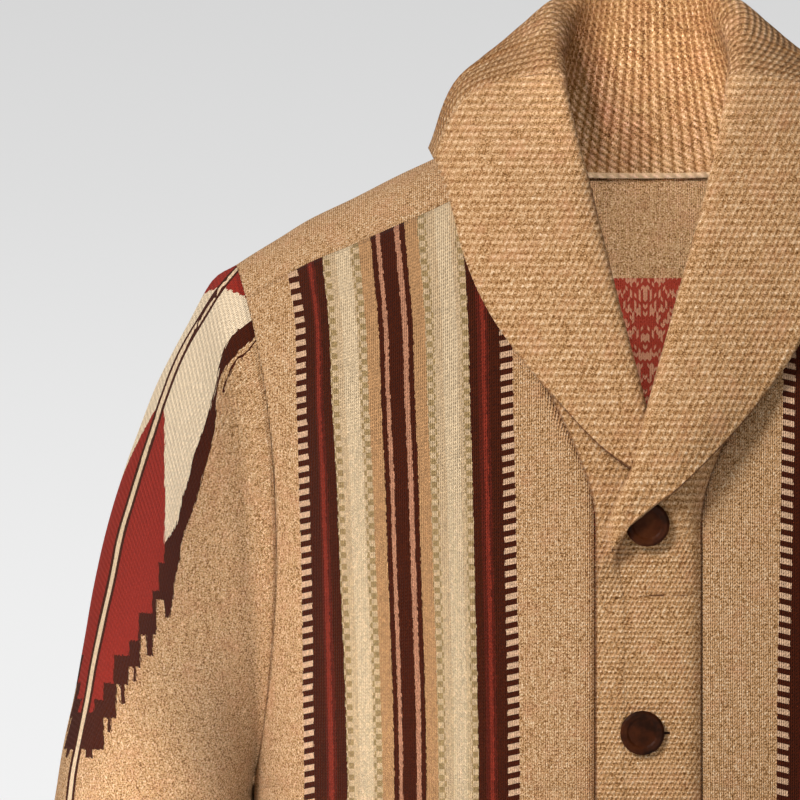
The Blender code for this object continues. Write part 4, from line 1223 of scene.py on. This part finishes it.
# the back of the collar is the left half and its mirror image
collar_rows = [[Vector((-p.x, p.y, p.z)) for p in row] for row in collar_rows[:0:-1]] + collar_rows
collar_table = [[(u, -v) for u, v in line] for line in collar_table[:0:-1]] + collar_table
lay("collar_back", collar_rows, collar_rows, {"cloth": collar_table}, RIB, wall=STRIP_WALL, offset=0.0)

for i in range(1, BUTTON_COUNT + 1):
    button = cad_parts[f"button_{i}"]
    button.data.materials.clear()
    button.data.materials.append(HORN)

# ---------------------------------------------------------------- studio

# a painted board, matt and light grey, below the picture
floor_mesh = bpy.data.meshes.new("floor")
bm = bmesh.new()
bmesh.ops.create_grid(bm, x_segments=1, y_segments=1, size=3.0)
bmesh.ops.translate(bm, verts=bm.verts, vec=(0, 0, -0.76))
bm.to_mesh(floor_mesh)
bm.free()
floor = bpy.data.objects.new("floor", floor_mesh)
bpy.context.scene.collection.objects.link(floor)
painted = bpy.data.materials.new("studio_floor")
painted.use_nodes = True
paint = painted.node_tree.nodes["Principled BSDF"]
paint.inputs["Base Color"].default_value = linear("#E4E4E4")
paint.inputs["Roughness"].default_value = 0.8
floor_mesh.materials.append(painted)

world = bpy.data.worlds.new("studio")
bpy.context.scene.world = world
world.use_nodes = True
sky = world.node_tree
add = functools.partial(add_node, sky)
# a pale grey backdrop, a little darker upwards, over the height that the far camera sees
direction = add("SeparateXYZ", add("TexCoord"))
rise = add("MapRange", direction.node.outputs[2], -0.0135, 0.0135, 0.0, 1.0)
backdrop = add("ValToRGB", rise, stops=("blend", (0.0, "#F2F2F2"), (0.25, "#EEEEEE"),
                                        (0.5, "#E7E7E7"), (0.75, "#DEDEDE"), (1.0, "#D7D7D7")))
# the room in front of the backdrop is dimmer, most on the right, so that the lamps shape the folds
room = add("MapRange", direction, -0.5, 0.7, 0.6, 0.24)
room = add("MixRGB", add("MapRange", direction.node.outputs[1], 0.3, 0.9, 0.0, 1.0), room,
           (1.0, 1.0, 1.0, 1.0))
sky.links.new(add("MixRGB MULTIPLY", 1.0, backdrop, room), sky.nodes["Background"].inputs["Color"])
sky.nodes["Background"].inputs["Strength"].default_value = 1.0


def lamp(name, place, aim, size, power, spread=180):
    """A square lamp that looks at its aim; sizes in metres, power in watts, spread in degrees."""
    light = bpy.data.lights.new(name, "AREA")
    light.size = size
    light.spread = math.radians(spread)
    light.energy = power
    holder = bpy.data.objects.new(name, light)
    holder.location = place
    holder.rotation_euler = (Vector(aim) - Vector(place)).to_track_quat("-Z", "Y").to_euler()
    bpy.context.scene.collection.objects.link(holder)


lamp("key", (-2.15, -2.8, 2.0), (0, 0, -0.2), 1.2, 146)
lamp("fill", (1.8, -2.6, 0.4), (0, 0, -0.2), 2.0, 5)
lamp("sleeve", (0.1, -1.2, -0.36), (-0.37, 0, -0.38), 0.3, 0.40, 20)
lamp("neck", (-0.36, -1.5, 0.3), (0.01, 0.05, 0.03), 0.06, 0.027, 5)
lamp("inside", (0, -0.035, -0.10), (0, 1.0, -0.12), 0.07, 0.12)

EYE_AWAY, FRAME_WIDTH = 16.0, 0.432  # the photo shows 0.432 m, seen from far off
camera = bpy.data.cameras.new("camera")
camera.sensor_width = 36.0
camera.lens = camera.sensor_width * EYE_AWAY / FRAME_WIDTH
camera.clip_end = 200.0
eye = bpy.data.objects.new("camera", camera)
eye.location = (-0.1334, -16.04, -0.1512)
eye.rotation_euler = (math.pi / 2, 0, 0)
bpy.context.scene.collection.objects.link(eye)
bpy.context.scene.camera = eye
bpy.context.scene.view_settings.view_transform = "Standard"
